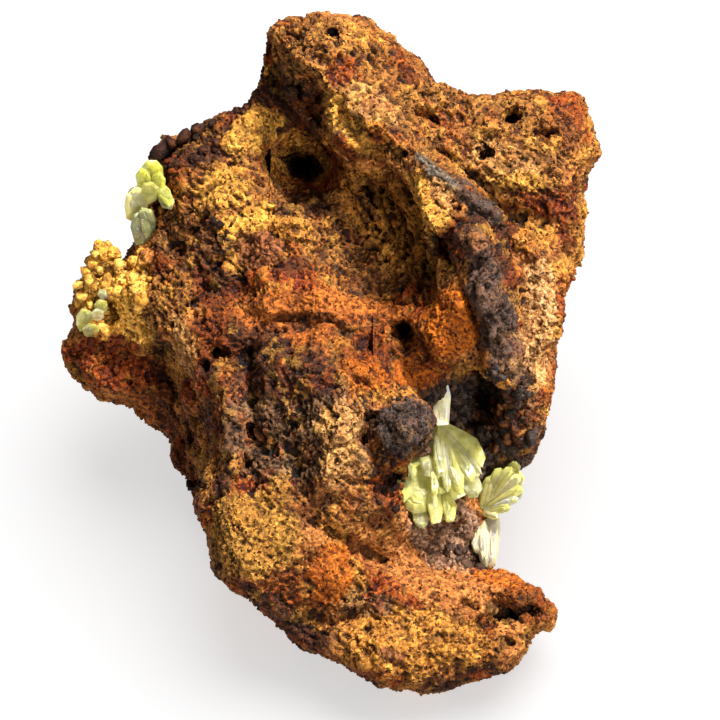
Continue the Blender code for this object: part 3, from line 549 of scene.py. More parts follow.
# Tints that the finishes multiply a colour by.
GOLDEN, SHADY = (1.35, 1.12, 0.75), (0.65, 0.52, 0.48)
PALE_FLAKE, DARK_FLAKE = (1.75, 1.65, 1.5), (0.42, 0.36, 0.32)
PALE_GRAIN, DARK_GRAIN = (1.65, 1.55, 1.4), (0.45, 0.38, 0.32)
# Below: painted highlight for pore rims, painted glints, and painted shade for pore floors.
PAINTED_RIM_HIGHLIGHT, GLINT, PAINTED_PORE_SHADE = (1.8, 1.7, 1.5), (2.0, 1.9, 1.8), (0.10, 0.06, 0.05)
CLEAR_ZONE, DEEP_ZONE = (1.18, 1.16, 1.25), (0.78, 0.80, 0.55)
# Colours that lie over a crystal's own (the growth lines' colour is also a painted glint), and the colour of
# its clear part.
VEIL, GROWTH_LINE_AND_GLINT, CLEAR_PART = (0.86, 0.85, 0.62), (0.92, 0.92, 0.72), (0.93, 0.95, 0.72, 1)

# Lights: place and size in metres, and power in watts. The wash lights the floor alone, and the others
# light everything else.
LIGHTS = {
    "key": ((0.26, 0.04, 0.68), 0.13, 18.0),
    "front": ((0.30, -0.55, 0.42), 0.22, 5.0),
    "fill": ((-0.45, -0.6, 0.5), 0.6, 1.0),
    "floor_wash": ((0.25, 0.25, 1.0), 1.2, 6.5),
}
SKY_STRENGTH, FLOOR_GLOW = 0.27, 0.56
FLOOR_WIDTH = 6  # metres

# How the rock is halved again and again: across x or y of the face, and the names of the two halves.
PART_CUTS = ((1, "lower", "upper"), (0, "left", "right"), (0, "west", "east"))


def to_face(points):
    """Points of the part, in metres, as millimetres on the show face."""
    return (points @ np.array(TO_FACE.to_3x3()).T + np.array(TO_FACE.translation)) / MM


def smoothstep(low, high, x):
    t = np.clip((x - low) / (high - low), 0, 1)
    return t * t * (3 - 2 * t)


# ---------------------------------------------------------------- meshes

def new_piece(name, mesh):
    obj = bpy.data.objects.new(name, mesh)
    bpy.context.scene.collection.objects.link(obj)
    return obj


def select_only(obj):
    bpy.ops.object.select_all(action="DESELECT")
    obj.select_set(True)
    bpy.context.view_layer.objects.active = obj


def apply_modifier(obj, kind, **settings):
    modifier = obj.modifiers.new(kind.lower(), kind)
    for name, value in settings.items():
        setattr(modifier, name, value)
    select_only(obj)
    bpy.ops.object.modifier_apply(modifier=modifier.name)


def copy_of_node(node, name):
    """A CAD node's solid as a new piece, its loose triangles merged."""
    obj = new_piece(name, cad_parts[node].data.copy())
    obj.data.materials.clear()
    select_only(obj)
    bpy.ops.object.mode_set(mode="EDIT")
    bpy.ops.mesh.select_all(action="SELECT")
    bpy.ops.mesh.remove_doubles(threshold=MERGE_DISTANCE)
    bpy.ops.object.mode_set(mode="OBJECT")
    return obj


def coordinates(mesh):
    out = np.empty(len(mesh.vertices) * 3)
    mesh.vertices.foreach_get("co", out)
    return out.reshape(-1, 3)


def normals(mesh):
    out = np.empty(len(mesh.vertices) * 3, np.float32)
    mesh.vertex_normals.foreach_get("vector", out)
    return out.reshape(-1, 3).astype(float)


def set_coordinates(mesh, points):
    mesh.vertices.foreach_set("co", points.ravel())
    mesh.update()


def paint(mesh, colour, gloss, porous):
    """Lays a colour, a gloss and a share of pores on every point of a mesh, for its material."""
    tint = mesh.attributes.new("tint", "FLOAT_COLOR", "POINT")
    tint.data.foreach_set("color", np.column_stack([colour, np.ones(len(colour))]).ravel())
    for name, values in (("gloss", gloss), ("porous", porous)):
        mesh.attributes.new(name, "FLOAT", "POINT").data.foreach_set("value", values)


# ---------------------------------------------------------------- random fields

LATTICE_RNG = np.random.default_rng(SEED)
GRADIENTS = LATTICE_RNG.normal(size=(LATTICE,) * 3 + (3,))
GRADIENTS /= np.linalg.norm(GRADIENTS, axis=3, keepdims=True)
CENTRES = LATTICE_RNG.uniform(size=(LATTICE,) * 3 + (3,))
NUMBERS = LATTICE_RNG.uniform(size=(LATTICE,) * 3)
LEANS = LATTICE_RNG.normal(size=(CHIP_LEANS, 3))


def lattice_place(points, size, shift):
    """The lattice cell of each point, in mm, and where in that cell it lies."""
    place = points / size + shift * np.array([7.31, 3.17, 5.53])
    cell = np.floor(place).astype(int)
    return cell, place - cell


def smooth_noise(points, size, shift=0):
    """Random hills and hollows of the given size in mm, from about -1 to 1."""
    cell, part = lattice_place(points, size, shift)
    fade = part ** 3 * (part * (part * 6 - 15) + 10)
    total = np.zeros(len(points))
    for corner in np.ndindex(2, 2, 2):
        near = GRADIENTS[tuple(((cell + corner) % LATTICE).T)]
        total += np.where(corner, fade, 1 - fade).prod(axis=1) * ((part - corner) * near).sum(axis=1)
    return 1.6 * total


def smooth_push(points, size, shift=0):
    """A smooth random move for each point, along all three axes."""
    return np.stack([smooth_noise(points, size, shift + 31 * axis) for axis in (1, 2, 3)], axis=1)


def fractal(points, size, shift=0, octaves=4):
    """Hills and hollows with smaller ones on them."""
    return sum(
        0.5 ** step * smooth_noise(points, size / 2 ** step, shift + 7 * step) for step in range(octaves)
    )


def ridges(points, size, shift=0, octaves=4):
    """Sharp crests between hollows, evened to about -1 to 1."""
    total = sum(
        0.5 ** step * (1 - np.abs(smooth_noise(points, size / 2 ** step, shift + 5 * step))) ** 3
        for step in range(octaves)
    )
    return np.clip((total - total.mean()) / total.std(), -2, 2.5) * 0.5


def cells(points, size, shift=0):
    """Distances to the nearest and next cell centre, a number for the cell, and the way to its centre."""
    cell, part = lattice_place(points, size, shift)
    near = np.full(len(points), np.inf)
    beyond = near.copy()
    number = np.zeros(len(points))
    way = np.zeros((len(points), 3))
    for step in np.ndindex(3, 3, 3):
        step = np.array(step) - 1
        index = tuple(((cell + step) % LATTICE).T)
        offset = CENTRES[index] + step - part
        away = (offset ** 2).sum(axis=1)
        closer = away < near
        beyond = np.where(closer, near, np.minimum(beyond, away))
        near = np.where(closer, away, near)
        number = np.where(closer, NUMBERS[index], number)
        way = np.where(closer[:, None], offset, way)
    return np.sqrt(near), np.sqrt(beyond), number, way


def holes(points, size, share, radius, shift):
    """Round pores in a share of the cells: how deep each point lies in one, 0 to 1, and their rims."""
    near, _, number, _ = cells(points, size, shift)
    pick = np.clip((number - 1 + share) / share, 0, 1)
    reach = radius * (0.4 + 0.6 * pick) * (pick > 0) + 1e-6
    depth = np.clip(1 - (near / reach) ** 2, 0, 1) ** 0.7
    rim = smoothstep(1.45, 1.0, near / reach) * (near > reach) * (pick > 0)
    return depth, rim


def boxes(points, size, share, width, shift):
    """Hollow cells between thin walls: how deep each point lies in one, 0 to 1."""
    near, beyond, number, _ = cells(points, size, shift)
    return smoothstep(0.05, width, beyond - near) * smoothstep(1 - share, 1.15 - share, number)


def chips(points, size, shift):
    """Broken facets: every cell is a little plane that leans its own way."""
    _, _, number, way = cells(points, size, shift)
    return (way * LEANS[(number * len(LEANS)).astype(int)]).sum(axis=1)


# ---------------------------------------------------------------- the rock

def pixels(points):
    """Where points of the part, in metres, lie on the view."""
    spots = to_face(points) * MM
    nearer = (VIEW_DISTANCE - spots[:, 2]) / VIEW_DISTANCE
    return np.column_stack([
        VIEW_PIXELS / 2 + spots[:, 0] / nearer / PIXEL, VIEW_PIXELS / 2 - spots[:, 1] / nearer / PIXEL,
    ])


def line_reach(spots, line):
    """Distance of each spot on the view from a line, its side (1: right) and its share of the length."""
    knots = np.array(line, float)
    lengths = np.linalg.norm(np.diff(knots, axis=0), axis=1)
    starts = np.concatenate([[0], np.cumsum(lengths)])
    nearest = np.full(len(spots), np.inf)
    side, travelled = np.ones(len(spots)), np.zeros(len(spots))
    for start, end, length, before in zip(knots, knots[1:], lengths, starts):
        along = (end - start) / length
        run = np.clip((spots - start) @ along, 0, length)
        offset = spots - start - run[:, None] * along
        away = np.hypot(offset[:, 0], offset[:, 1])
        closer = away < nearest
        nearest = np.where(closer, away, nearest)
        side = np.where(closer, np.sign(along[0] * offset[:, 1] - along[1] * offset[:, 0]), side)
        travelled = np.where(closer, before + run, travelled)
    return nearest, side, travelled / starts[-1]


def spot_reach(spots, x, y, half_width, half_height, turn):
    """Distance of each spot on the view from a point, 1 on the ellipse around it."""
    angle = math.radians(turn)
    right, up = spots[:, 0] - x, y - spots[:, 1]
    along = right * math.cos(angle) + up * math.sin(angle)
    across = up * math.cos(angle) - right * math.sin(angle)
    return np.hypot(along / half_width, across / half_height)


def ways_to_eye(mesh):
    """The way from each point of a mesh to the eye, and how long it is."""
    ways = np.array(EYE) - coordinates(mesh)
    return ways, np.linalg.norm(ways, axis=1)


def facing_eye(mesh):
    """How far each point's surface turns to the eye: 1 for head on, under 0 for away from it."""
    ways, lengths = ways_to_eye(mesh)
    return (ways * normals(mesh)).sum(axis=1) / lengths


def turned_away(mesh):
    """1 on the rock's back and sides, fading to 0 on its show face and near its foot."""
    return smoothstep(0.0, -0.35, facing_eye(mesh)) * smoothstep(1.0, 6.0, coordinates(mesh)[:, 2] / MM)


def round_off_back(rock):
    """Wears down the back and the sides, where the view gives no form to keep."""
    group = rock.vertex_groups.new(name="back")
    for index, share in enumerate(turned_away(rock.data)):
        if share > 0:
            group.add([index], float(share), "REPLACE")
    apply_modifier(rock, "SMOOTH", factor=0.5, iterations=BACK_ROUNDS, vertex_group=group.name)


def drawn_relief(spots):
    """How far the forms drawn on the view come forward at each spot of it, in mm."""
    height = np.zeros(len(spots))
    for *place, rise in SWELLS.values():
        height += rise * (1 - smoothstep(0.2, 1.1, spot_reach(spots, *place)))
    for half_width, rise, line in STROKES.values():
        nearest, _, _ = line_reach(spots, line)
        height += rise * np.clip(1 - nearest / half_width, 0, 1) ** 0.8
    for drop, near, far, line in CLIFFS.values():
        nearest, side, travelled = line_reach(spots, line)
        profile = smoothstep(0, near, nearest) * (1 - smoothstep(near, far, nearest))
        ends = smoothstep(0, 0.08, travelled) * smoothstep(1, 0.92, travelled)
        height -= drop * profile * (side > 0) * ends
    return height


def drawn_moves(spots):
    """How far the rock moves across the view at each spot of it, in metres of the part."""
    right, up = (np.array(FACE.to_3x3() @ Vector(way)) for way in ((1, 0, 0), (0, 1, 0)))
    moves = np.zeros((len(spots), 3))
    for x, y, reach, move_x, move_y in NUDGES.values():
        near = 1 - smoothstep(0.3, 1.0, spot_reach(spots, x, y, reach, reach, 0))
        moves += near[:, None] * (move_x * right - move_y * up) * PIXEL
    return moves


def sculpt(mesh):
    """Pushes the rock towards the eye and back from it for the drawn forms, and swells its back."""
    points = coordinates(mesh)
    mm = points / MM
    spots = pixels(points)
    sway = sum(smooth_push(mm, size, field)[:, :2] * reach for reach, size, field in FORM_SWAY)
    height = drawn_relief(spots + sway)
    height *= smoothstep(-0.05, 0.35, facing_eye(mesh)) * smoothstep(0.5, 3.0, mm[:, 2])
    swell = BACK_SWELL * fractal(mm, BACK_SWELL_SIZE, 12, octaves=3) * turned_away(mesh)
    ways, lengths = ways_to_eye(mesh)
    forward = ways / lengths[:, None] * height[:, None] * MM
    outward = normals(mesh) * swell[:, None] * MM
    set_coordinates(mesh, points + drawn_moves(spots) + forward + outward)


def at_depth(x, y, depth):
    """A place in metres, from its pixel on the view and its depth in mm in front of the face."""
    nearer = (VIEW_DISTANCE - depth * MM) / VIEW_DISTANCE
    return FACE @ Vector((
        (x - VIEW_PIXELS / 2) * PIXEL * nearer, (VIEW_PIXELS / 2 - y) * PIXEL * nearer, depth * MM,
    ))


def on_rock(rock, x, y):
    """Where the line of sight through a pixel of the view meets the rock, and its surface's way out there."""
    through = at_depth(x, y, 0)
    found, place, out, _ = rock.ray_cast(EYE, (through - EYE).normalized())
    return (place, out) if found else (through, None)


def mineral_row(name):
    body, dust_and_highlight, *texture = MINERALS[name]
    return np.array([*body, *dust_and_highlight, *texture])


def base_coat(points):
    """Rust, ochre and umber clouds for the whole rock, in the columns of mineral_row."""
    clouds = fractal(points, CLOUD_SIZE)
    dark = fractal(points, DARK_CLOUD_SIZE, shift=9)
    rows = np.outer(np.ones(len(points)), mineral_row("golden_brown"))
    for amount, name in (
        (smoothstep(0.05, 0.30, clouds), "rust"),
        (smoothstep(-0.05, -0.30, clouds), "ochre"),
        (smoothstep(0.10, 0.35, dark), "umber"),
        (smoothstep(-0.15, -0.40, dark), "terracotta"),
        (smoothstep(0.45, 0.60, dark - clouds), "brick"),
    ):
        rows += amount[:, None] * (mineral_row(name) - rows)
    return rows


def lay_minerals(rock, points):
    """The mineral columns of every point: clouds all over, and the stains of the show face over them."""
    mm = points / MM
    rows = base_coat(mm)
    sway = sum(reach * smooth_push(mm, size, field) for reach, size, field in STAIN_SWAY)
    spots = to_face(points) + sway
    for x, y, half_width, half_height, turn, mineral, strength in STAINS.values():
        angle = math.radians(turn)
        middle, _ = on_rock(rock, x, y)
        offset = spots - np.array(TO_FACE @ middle) / MM
        along = offset[:, 0] * math.cos(angle) + offset[:, 1] * math.sin(angle)
        across = offset[:, 1] * math.cos(angle) - offset[:, 0] * math.sin(angle)
        width, height = half_width * PIXEL / MM, half_height * PIXEL / MM
        inward = offset[:, 2] / 1.4 / max(width, height)
        reach = np.sqrt((along / width) ** 2 + (across / height) ** 2 + inward ** 2)
        rows += (strength * smoothstep(1.15, 0.80, reach))[:, None] * (mineral_row(mineral) - rows)
    for field, (mineral, strength) in enumerate(FLECKS.items(), start=FIRST_FLECK_FIELD):
        flecks = smoothstep(0.22, 0.34, fractal(mm + 0.4 * sway, FLECK_SIZE, field, octaves=3))
        flecks *= strength * np.clip(rows[:, SPONGE] * 1.5, 0, 1)
        rows[:, :SPONGE] += flecks[:, None] * (mineral_row(mineral)[:SPONGE] - rows[:, :SPONGE])
    return rows


def along_grain(points, direction, share):
    """Points drawn together along a direction of the face, so that patterns over them run along it."""
    way = np.array(FACE.to_3x3() @ Vector(direction).normalized())
    return points - share * (points @ way)[:, None] * way


def weather(points, rows, slotted):
    """Height of the weathered surface over the plain one in mm, how deep in a hole it is, and its rims."""
    sway = 1.0 * smooth_push(points, SWAY_SIZE, 2)
    tremble = 0.25 * smooth_push(points, TREMBLE_SIZE, 11)
    patches = smoothstep(-0.25, 0.25, smooth_noise(points, PATCH_SIZE, 15))
    crag = ridges(points + sway, CRAG_SIZE, 3)
    lump = fractal(points, LUMP_SIZE, 6)
    grained = along_grain(points, GRAIN_WAY, GRAIN_SHARE)
    chip = chips(grained + 0.4 * sway, CHIP_SIZE, 24)
    chip += 0.5 * chips(grained + 0.2 * sway + tremble, SMALL_CHIP_SIZE, 25)
    net = ridges(grained + 0.6 * tremble, NET_SIZE, 29, octaves=2)
    void, void_rim = holes(points + 0.7 * sway + tremble, *VOIDS)
    box = boxes(grained + 0.4 * sway + tremble, *BOXES) * patches
    pore, pore_rim = holes(grained + tremble, *ROUND_PORES)
    speck, speck_rim = holes(points + tremble, *SPECKS)
    slot = boxes(along_grain(points, SLOT_WAY, SLOT_SHARE) + 1.5 * tremble, *SLOTS)
    near, _, _, _ = cells(points + 0.3 * sway, NODULE_SIZE, shift=8)
    dome = np.sqrt(np.clip(1 - (near / NODULE_REACH) ** 2, 0, 1)) - NODULE_FOOT
    grain = ridges(points, GRAIN_SIZE, 1, octaves=1)
    sponge, pores = rows[:, SPONGE], rows[:, PORES]
    height = (
        rows[:, CRAGS] * (CRAG_RISE * crag + LUMP_RISE * lump + CHIP_RISE * chip)
        + rows[:, NODULES] * dome
        - sponge * (VOID_DEPTH * void + BOX_DEPTH * box)
        - pores * (PORE_DEPTH * pore + SPECK_DEPTH * speck)
        - SLOT_DEPTH * slotted * slot
        + (NET_RISE + SPONGE_NET_RISE * sponge) * net
        + GRAIN_RISE * grain
        + SPONGE_SWELL * sponge
        + SLOTTED_SWELL * slotted
        - SETTLE
    )
    height = np.minimum(height, LEDGE_TOP + LEDGE_SQUASH * (height - LEDGE_TOP))
    spongy, pitted = np.clip(sponge * 1.4, 0, 1), np.clip(pores * 2.8, 0, 1)
    solid = (1 - spongy * void) * (1 - 0.6 * spongy * box) * (1 - slotted * slot)
    solid *= (1 - pitted * pore) * (1 - 0.75 * pitted * speck)
    rim = np.clip(pore_rim + 0.7 * speck_rim + void_rim, 0, 1) * pitted * solid
    return height, 1 - solid, rim


def hollowness(mesh, points, rounds):
    """How far each point lies under the surface evened out over its neighbours, in mm."""
    edges = np.empty(len(mesh.edges) * 2, np.int32)
    mesh.edges.foreach_get("vertices", edges)
    first, second = edges.reshape(-1, 2).T
    links = np.bincount(edges, minlength=len(points))[:, None]
    even = points.copy()
    for _ in range(rounds):
        total = np.stack([
            np.bincount(first, even[second, axis], len(points))
            + np.bincount(second, even[first, axis], len(points))
            for axis in range(3)
        ], axis=1)
        even = total / links
    return ((even - points) * normals(mesh)).sum(axis=1) / MM


def weathered_colour(mesh, mm, carved, rows, open_share, rim):
    """The minerals' colours, with dust and painted highlight on raised edges and painted shade in holes and
    hollows; mm are the points before carving.
    """
    fine = hollowness(mesh, carved, FINE_ROUNDS)
    wide = hollowness(mesh, carved, WIDE_ROUNDS)
    mottle = 0.4 * smooth_noise(mm, 2.2, 13) + 0.6 * smooth_noise(mm, 0.7, 14)
    # raised edges take the lighter colour, partly dust and partly painted highlight
    dust_and_highlight = smoothstep(0.05, 0.95, 0.36 - 9.0 * fine - 1.0 * wide + 0.5 * mottle + 0.5 * rim)[:, None]
    colour = rows[:, :3] + dust_and_highlight * (rows[:, 3:6] - rows[:, :3])
    # painted highlight on the pores' rims
    colour *= (1 + 0.35 * rim)[:, None]
    # painted shade: darker in holes, slots and wide hollows
    dark = 1 - (1 - 0.90 * open_share) * (1 - 0.75 * smoothstep(0.10, 0.60, wide))
    colour *= (1 - 0.95 * dark)[:, None]
    return np.clip(colour, *COLOUR_RANGE)


def build_rock():
    """The rock with its relief and its colours, and the mineral columns of its points."""
    rock = copy_of_node("matrix", "limonite_rock")
    apply_modifier(rock, "REMESH", mode="VOXEL", voxel_size=SCULPT_CELL)
    apply_modifier(rock, "SMOOTH", factor=0.5, iterations=SCULPT_ROUNDS)
    round_off_back(rock)
    sculpt(rock.data)
    apply_modifier(rock, "REMESH", mode="VOXEL", voxel_size=ROCK_CELL)
    apply_modifier(rock, "SMOOTH", factor=0.5, iterations=WEATHER_ROUNDS)
    bpy.context.view_layer.update()
    mesh = rock.data
    points = coordinates(mesh)
    mm = points / MM
    rows = lay_minerals(rock, points)
    slotted = smoothstep(1.15, 0.75, spot_reach(pixels(points), *SLOTTED_WALL))
    slotted *= smoothstep(0.0, 0.2, facing_eye(mesh))
    height, open_share, rim = weather(mm, rows, slotted)
    height *= smoothstep(0.0, 1.5, mm[:, 2])  # the flat foot stays flat
    carved = points + normals(mesh) * (height * MM)[:, None]
    set_coordinates(mesh, carved)
    colour = weathered_colour(mesh, mm, carved, rows, open_share, rim)
    paint(mesh, colour, rows[:, GLOSS], np.clip(rows[:, PORES] * 2.6, 0, 1))
    mesh.polygons.foreach_set("use_smooth", np.ones(len(mesh.polygons), bool))
    bpy.context.view_layer.update()
    return rock, rows


def cut_up(rock):
    """The rock in pieces, each small enough for its own file. They share its middle planes as cuts."""
    bm = bmesh.new()
    bm.from_mesh(rock.data)
    parts = {"rock": bm}
    for axis, under, over in PART_CUTS:
        way = Vector([float(axis == index) for index in range(3)])
        halves = {}
        for name, bm in parts.items():
            line = FACE.to_3x3() @ way
            at = float(np.median([line.dot(vert.co) for vert in bm.verts]) - line.dot(FACE_MIDDLE)) / MM
            halves[f"{name}_{under}"] = cut_off(bm.copy(), way * at, -way)
            halves[f"{name}_{over}"] = cut_off(bm, way * at, way)
        parts = halves
    pieces = []
    for name, bm in parts.items():
        piece = new_piece(name, bpy.data.meshes.new(name))
        bm.to_mesh(piece.data)
        bm.free()
        pieces.append(piece)
    bpy.data.objects.remove(rock)
    return pieces


def cut_off(bm, place, way):
    """Keeps what lies on one side of a plane of the face, and fills the cut where its edges allow."""
    cut = bmesh.ops.bisect_plane(
        bm, geom=bm.verts[:] + bm.edges[:] + bm.faces[:], dist=1e-9,
        plane_co=FACE @ (place * MM), plane_no=FACE.to_3x3() @ way, clear_inner=True,
    )
    edges = [item for item in cut["geom_cut"] if isinstance(item, bmesh.types.BMEdge)]
    bmesh.ops.triangle_fill(bm, edges=edges, normal=FACE.to_3x3() @ -way, use_beauty=True)
    for edge in edges:
        edge.smooth = False
    return bm


# ---------------------------------------------------------------- crystals, lumps and crumbs

def middle_of(outline):
    return [sum(place) / len(outline) for place in zip(*outline)]


def add_crystal(bm, layers, mineral, thickness, root, tip, outline):
    """One faceted crystal: its outline at three depths, skinned."""
    colour, milk = CLEAR[mineral]
    middle = middle_of(outline)
    axis = (tip[0] - root[0], tip[1] - root[1])
    square = axis[0] ** 2 + axis[1] ** 2
    cross = (axis[1] / math.sqrt(square), -axis[0] / math.sqrt(square))
    verts = []
    for scale, back in CRYSTAL_SKINS:
        for x, y in outline:
            x, y = (centre + scale * (place - centre) for centre, place in zip(middle, (x, y)))
            share = ((x - root[0]) * axis[0] + (y - root[1]) * axis[1]) / square
            depth = root[2] + share * (tip[2] - root[2]) - back * thickness
            vert = bm.verts.new(at_depth(x, y, depth))
            vert[layers["tint"]] = (*colour, 1)
            vert[layers["milk"]] = milk + MILK_FADE * (0.5 - min(max(share, 0), 1))
            vert[layers["across"]] = (x * cross[0] + y * cross[1]) * PIXEL
            verts.append(vert)
    bmesh.ops.convex_hull(bm, input=verts)


def add_growth_steps(bm, layers, mineral, thickness, root, tip, outline, rng):
    """Thin plates that lie along a crystal's front, as it grew in steps."""
    middle = Vector(middle_of(outline))
    axis = Vector((tip[0] - root[0], tip[1] - root[1])).normalized()
    cross = Vector((axis.y, -axis.x))
    spots = [Vector(place) - middle for place in outline]
    reach = max(abs(spot.dot(axis)) for spot in spots)
    width = max(abs(spot.dot(cross)) for spot in spots)
    for _ in range(STEPS_PER_CRYSTAL):
        narrow, long = rng.uniform(*STEP_WIDTHS), rng.uniform(*STEP_LENGTHS)
        slide, drift = rng.uniform(-STEP_SLIDE, STEP_SLIDE, 2)
        plate = []
        for spot in spots:
            along = spot.dot(axis) * long + slide * reach
            across = spot.dot(cross) * narrow + drift * 2 * width
            plate.append(tuple(middle + axis * along + cross * across))
        lift = Vector((0, 0, rng.uniform(*STEP_LIFTS)))
        low, high = tuple(Vector(root) + lift), tuple(Vector(tip) + lift)
        add_crystal(bm, layers, mineral, 0.5 * thickness, low, high, plate)


def spread_blades(start, table):
    """Crystal rows for blades that spread from one root."""
    rows = {}
    root = np.array(start[:2], float)
    for name, (mineral, tip, widths, thickness) in table.items():
        along = np.array(tip[:2]) - root
        cross = np.array((-along[1], along[0])) / np.hypot(*along)
        outline = [
            tuple(root + share * along + part * widths[which] * cross) for share, which, part in BLADE_OUTLINE
        ]
        rows[name] = (mineral, thickness, start, tip, outline)
    return rows


def build_crystals(name, table, rng):
    """The crystals of a table, each with its growth steps, as one bevelled piece."""
    bm = bmesh.new()
    layers = {
        "tint": bm.verts.layers.float_color.new("tint"),
        "milk": bm.verts.layers.float.new("milk"),
        "across": bm.verts.layers.float.new("across"),
    }
    for mineral, thickness, root, tip, outline in table.values():
        add_crystal(bm, layers, mineral, thickness, root, tip, outline)
        add_growth_steps(bm, layers, mineral, thickness, root, tip, outline, rng)
    loose = [vert for vert in bm.verts if not vert.link_faces]
    bmesh.ops.delete(bm, geom=loose, context="VERTS")
    bmesh.ops.dissolve_limit(bm, angle_limit=FLAT_ANGLE, verts=bm.verts, edges=bm.edges)
    bmesh.ops.recalc_face_normals(bm, faces=bm.faces)
    piece = new_piece(name, bpy.data.meshes.new(name))
    bm.to_mesh(piece.data)
    bm.free()
    apply_modifier(
        piece, "BEVEL", width=CRYSTAL_BEVEL, segments=2, limit_method="ANGLE", angle_limit=BEVEL_ANGLE,
    )
    apply_modifier(piece, "TRIANGULATE")
    select_only(piece)
    bpy.ops.object.shade_smooth_by_angle(angle=SMOOTH_ANGLE)
    return piece


def make_stones(name, places, outward, sizes, rows, rng, detail, rough):
    """Many small rounded stones in one piece, each with its own shape and its mineral's colours, dust and
    painted highlight on its top and painted shade towards its underside.
    """
    bm = bmesh.new()
    bmesh.ops.create_icosphere(bm, subdivisions=detail, radius=1.0)
    ball = np.array([vert.co for vert in bm.verts])
    faces = np.array([[vert.index for vert in face.verts] for face in bm.faces])
    bm.free()
    count = len(places)
    side = np.cross(outward, rng.normal(size=(count, 3)))
    side /= np.linalg.norm(side, axis=1)[:, None]
    turns = np.stack([side, np.cross(outward, side), outward], axis=2)
    waves = np.sin(
        np.einsum("kij,vj->kvi", rng.normal(size=(count, STONE_WAVES, 3)) * WAVE_PITCH, ball)
        + rng.uniform(0, FULL_WAVE, (count, 1, STONE_WAVES))
    ).mean(axis=2)
    stretch = rng.uniform(*STONE_STRETCH, (count, 3)) * sizes[:, None]
    shape = ball * (1 + rough * waves)[:, :, None] * stretch[:, None]
    points = places[:, None] + np.einsum("kij,kvj->kvi", turns, shape)
    height = np.clip(0.5 + 0.5 * ball[:, 2] + 0.4 * waves, 0, 1)[:, :, None]
    tone = rng.uniform(*STONE_TONES, (count, 1, 1))
    body, dust_and_highlight = rows[:, None, :3], rows[:, None, 3:6]
    # dust and painted highlight towards each stone's top, painted shade towards its underside
    colour = (body + (dust_and_highlight - body) * tone * height) * (0.2 + 0.8 * height)
    mesh = bpy.data.meshes.new(name)
    all_faces = faces[None] + (np.arange(count) * len(ball))[:, None, None]
    mesh.from_pydata(points.reshape(-1, 3), [], all_faces.reshape(-1, 3).tolist())
    gloss = np.repeat(rows[:, GLOSS], len(ball))
    paint(mesh, np.clip(colour.reshape(-1, 3), *COLOUR_RANGE), gloss, np.full(len(gloss), STONE_PORES))
    piece = new_piece(name, mesh)
    select_only(piece)
    bpy.ops.object.shade_smooth()
    return piece


def build_lumps(name, rock, rng):
    """The rounded lumps that stand on the rock at the spots of LUMPS, and the single ones of KNOBS."""
    places, outward, sizes, rows = [], [], [], []
    for mineral, small, large, count, (x, y, half_width, half_height, turn) in LUMPS.values():
        angle = math.radians(turn)
        for _ in range(count):
            reach, around = math.sqrt(rng.uniform()), rng.uniform(0, 2 * math.pi)
            along, across = half_width * reach * math.cos(around), half_height * reach * math.sin(around)
            size = (small + (large - small) * rng.uniform() ** 2) * MM
            hit, out = on_rock(
                rock,
                x + along * math.cos(angle) - across * math.sin(angle),
                y - along * math.sin(angle) - across * math.cos(angle),
            )
            if out is not None and hit.z > LUMP_FOOT:
                places.append(hit - out * size * LUMP_SINK)
                outward.append(out)
                sizes.append(size)
                rows.append(mineral_row(mineral))
    for mineral, radius, spot in KNOBS.values():
        place = at_depth(*spot)
        places.append(place)
        outward.append((EYE - place).normalized())
        sizes.append(radius * MM)
        rows.append(mineral_row(mineral))
    stones = (np.array(item) for item in (places, outward, sizes, rows))
    return make_stones(name, *stones, rng, detail=2, rough=0.55)


def build_crumbs(name, mesh, rows, rng):
    """Crumbs of the rock itself, lying all over it and coloured as it is."""
    count = len(mesh.polygons)
    areas, middles, outward = np.empty(count), np.empty(count * 3), np.empty(count * 3)
    mesh.polygons.foreach_get("area", areas)
    mesh.polygons.foreach_get("center", middles)
    mesh.polygons.foreach_get("normal", outward)
    middles, outward = middles.reshape(-1, 3), outward.reshape(-1, 3)
    areas[middles[:, 2] < CRUMB_FOOT] = 0
    areas *= 1 + 2 * smoothstep(-0.1, 0.2, outward @ np.array(FACE.to_3x3().col[2]))
    chosen = rng.choice(count, CRUMB_COUNT, p=areas / areas.sum(), replace=False)
    small, large = CRUMB_SIZES
    sizes = (small + (large - small) * rng.uniform(size=CRUMB_COUNT) ** 2) * MM
    corners = np.array([mesh.polygons[int(index)].vertices[0] for index in chosen])
    places = middles[chosen] + outward[chosen] * sizes[:, None] * CRUMB_LIFT
    return make_stones(name, places, outward[chosen], sizes, rows[corners], rng, detail=1, rough=0.5)


# ---------------------------------------------------------------- materials

class Value:
    """A socket that can stand in a Python expression."""

    def __init__(self, paint_box, socket):
        self.paint_box = paint_box
        self.socket = socket

    def _with(self, operation, first, second):
        node = self.paint_box.node("ShaderNodeMath", {"operation": operation}, {0: first, 1: second})
        return Value(self.paint_box, node.outputs[0])

    def __add__(self, other):
        return self._with("ADD", self, other)

    def __radd__(self, other):
        return self._with("ADD", other, self)

    def __sub__(self, other):
        return self._with("SUBTRACT", self, other)

    def __rsub__(self, other):
        return self._with("SUBTRACT", other, self)

    def __mul__(self, other):
        return self._with("MULTIPLY", self, other)

    def __rmul__(self, other):
        return self._with("MULTIPLY", other, self)


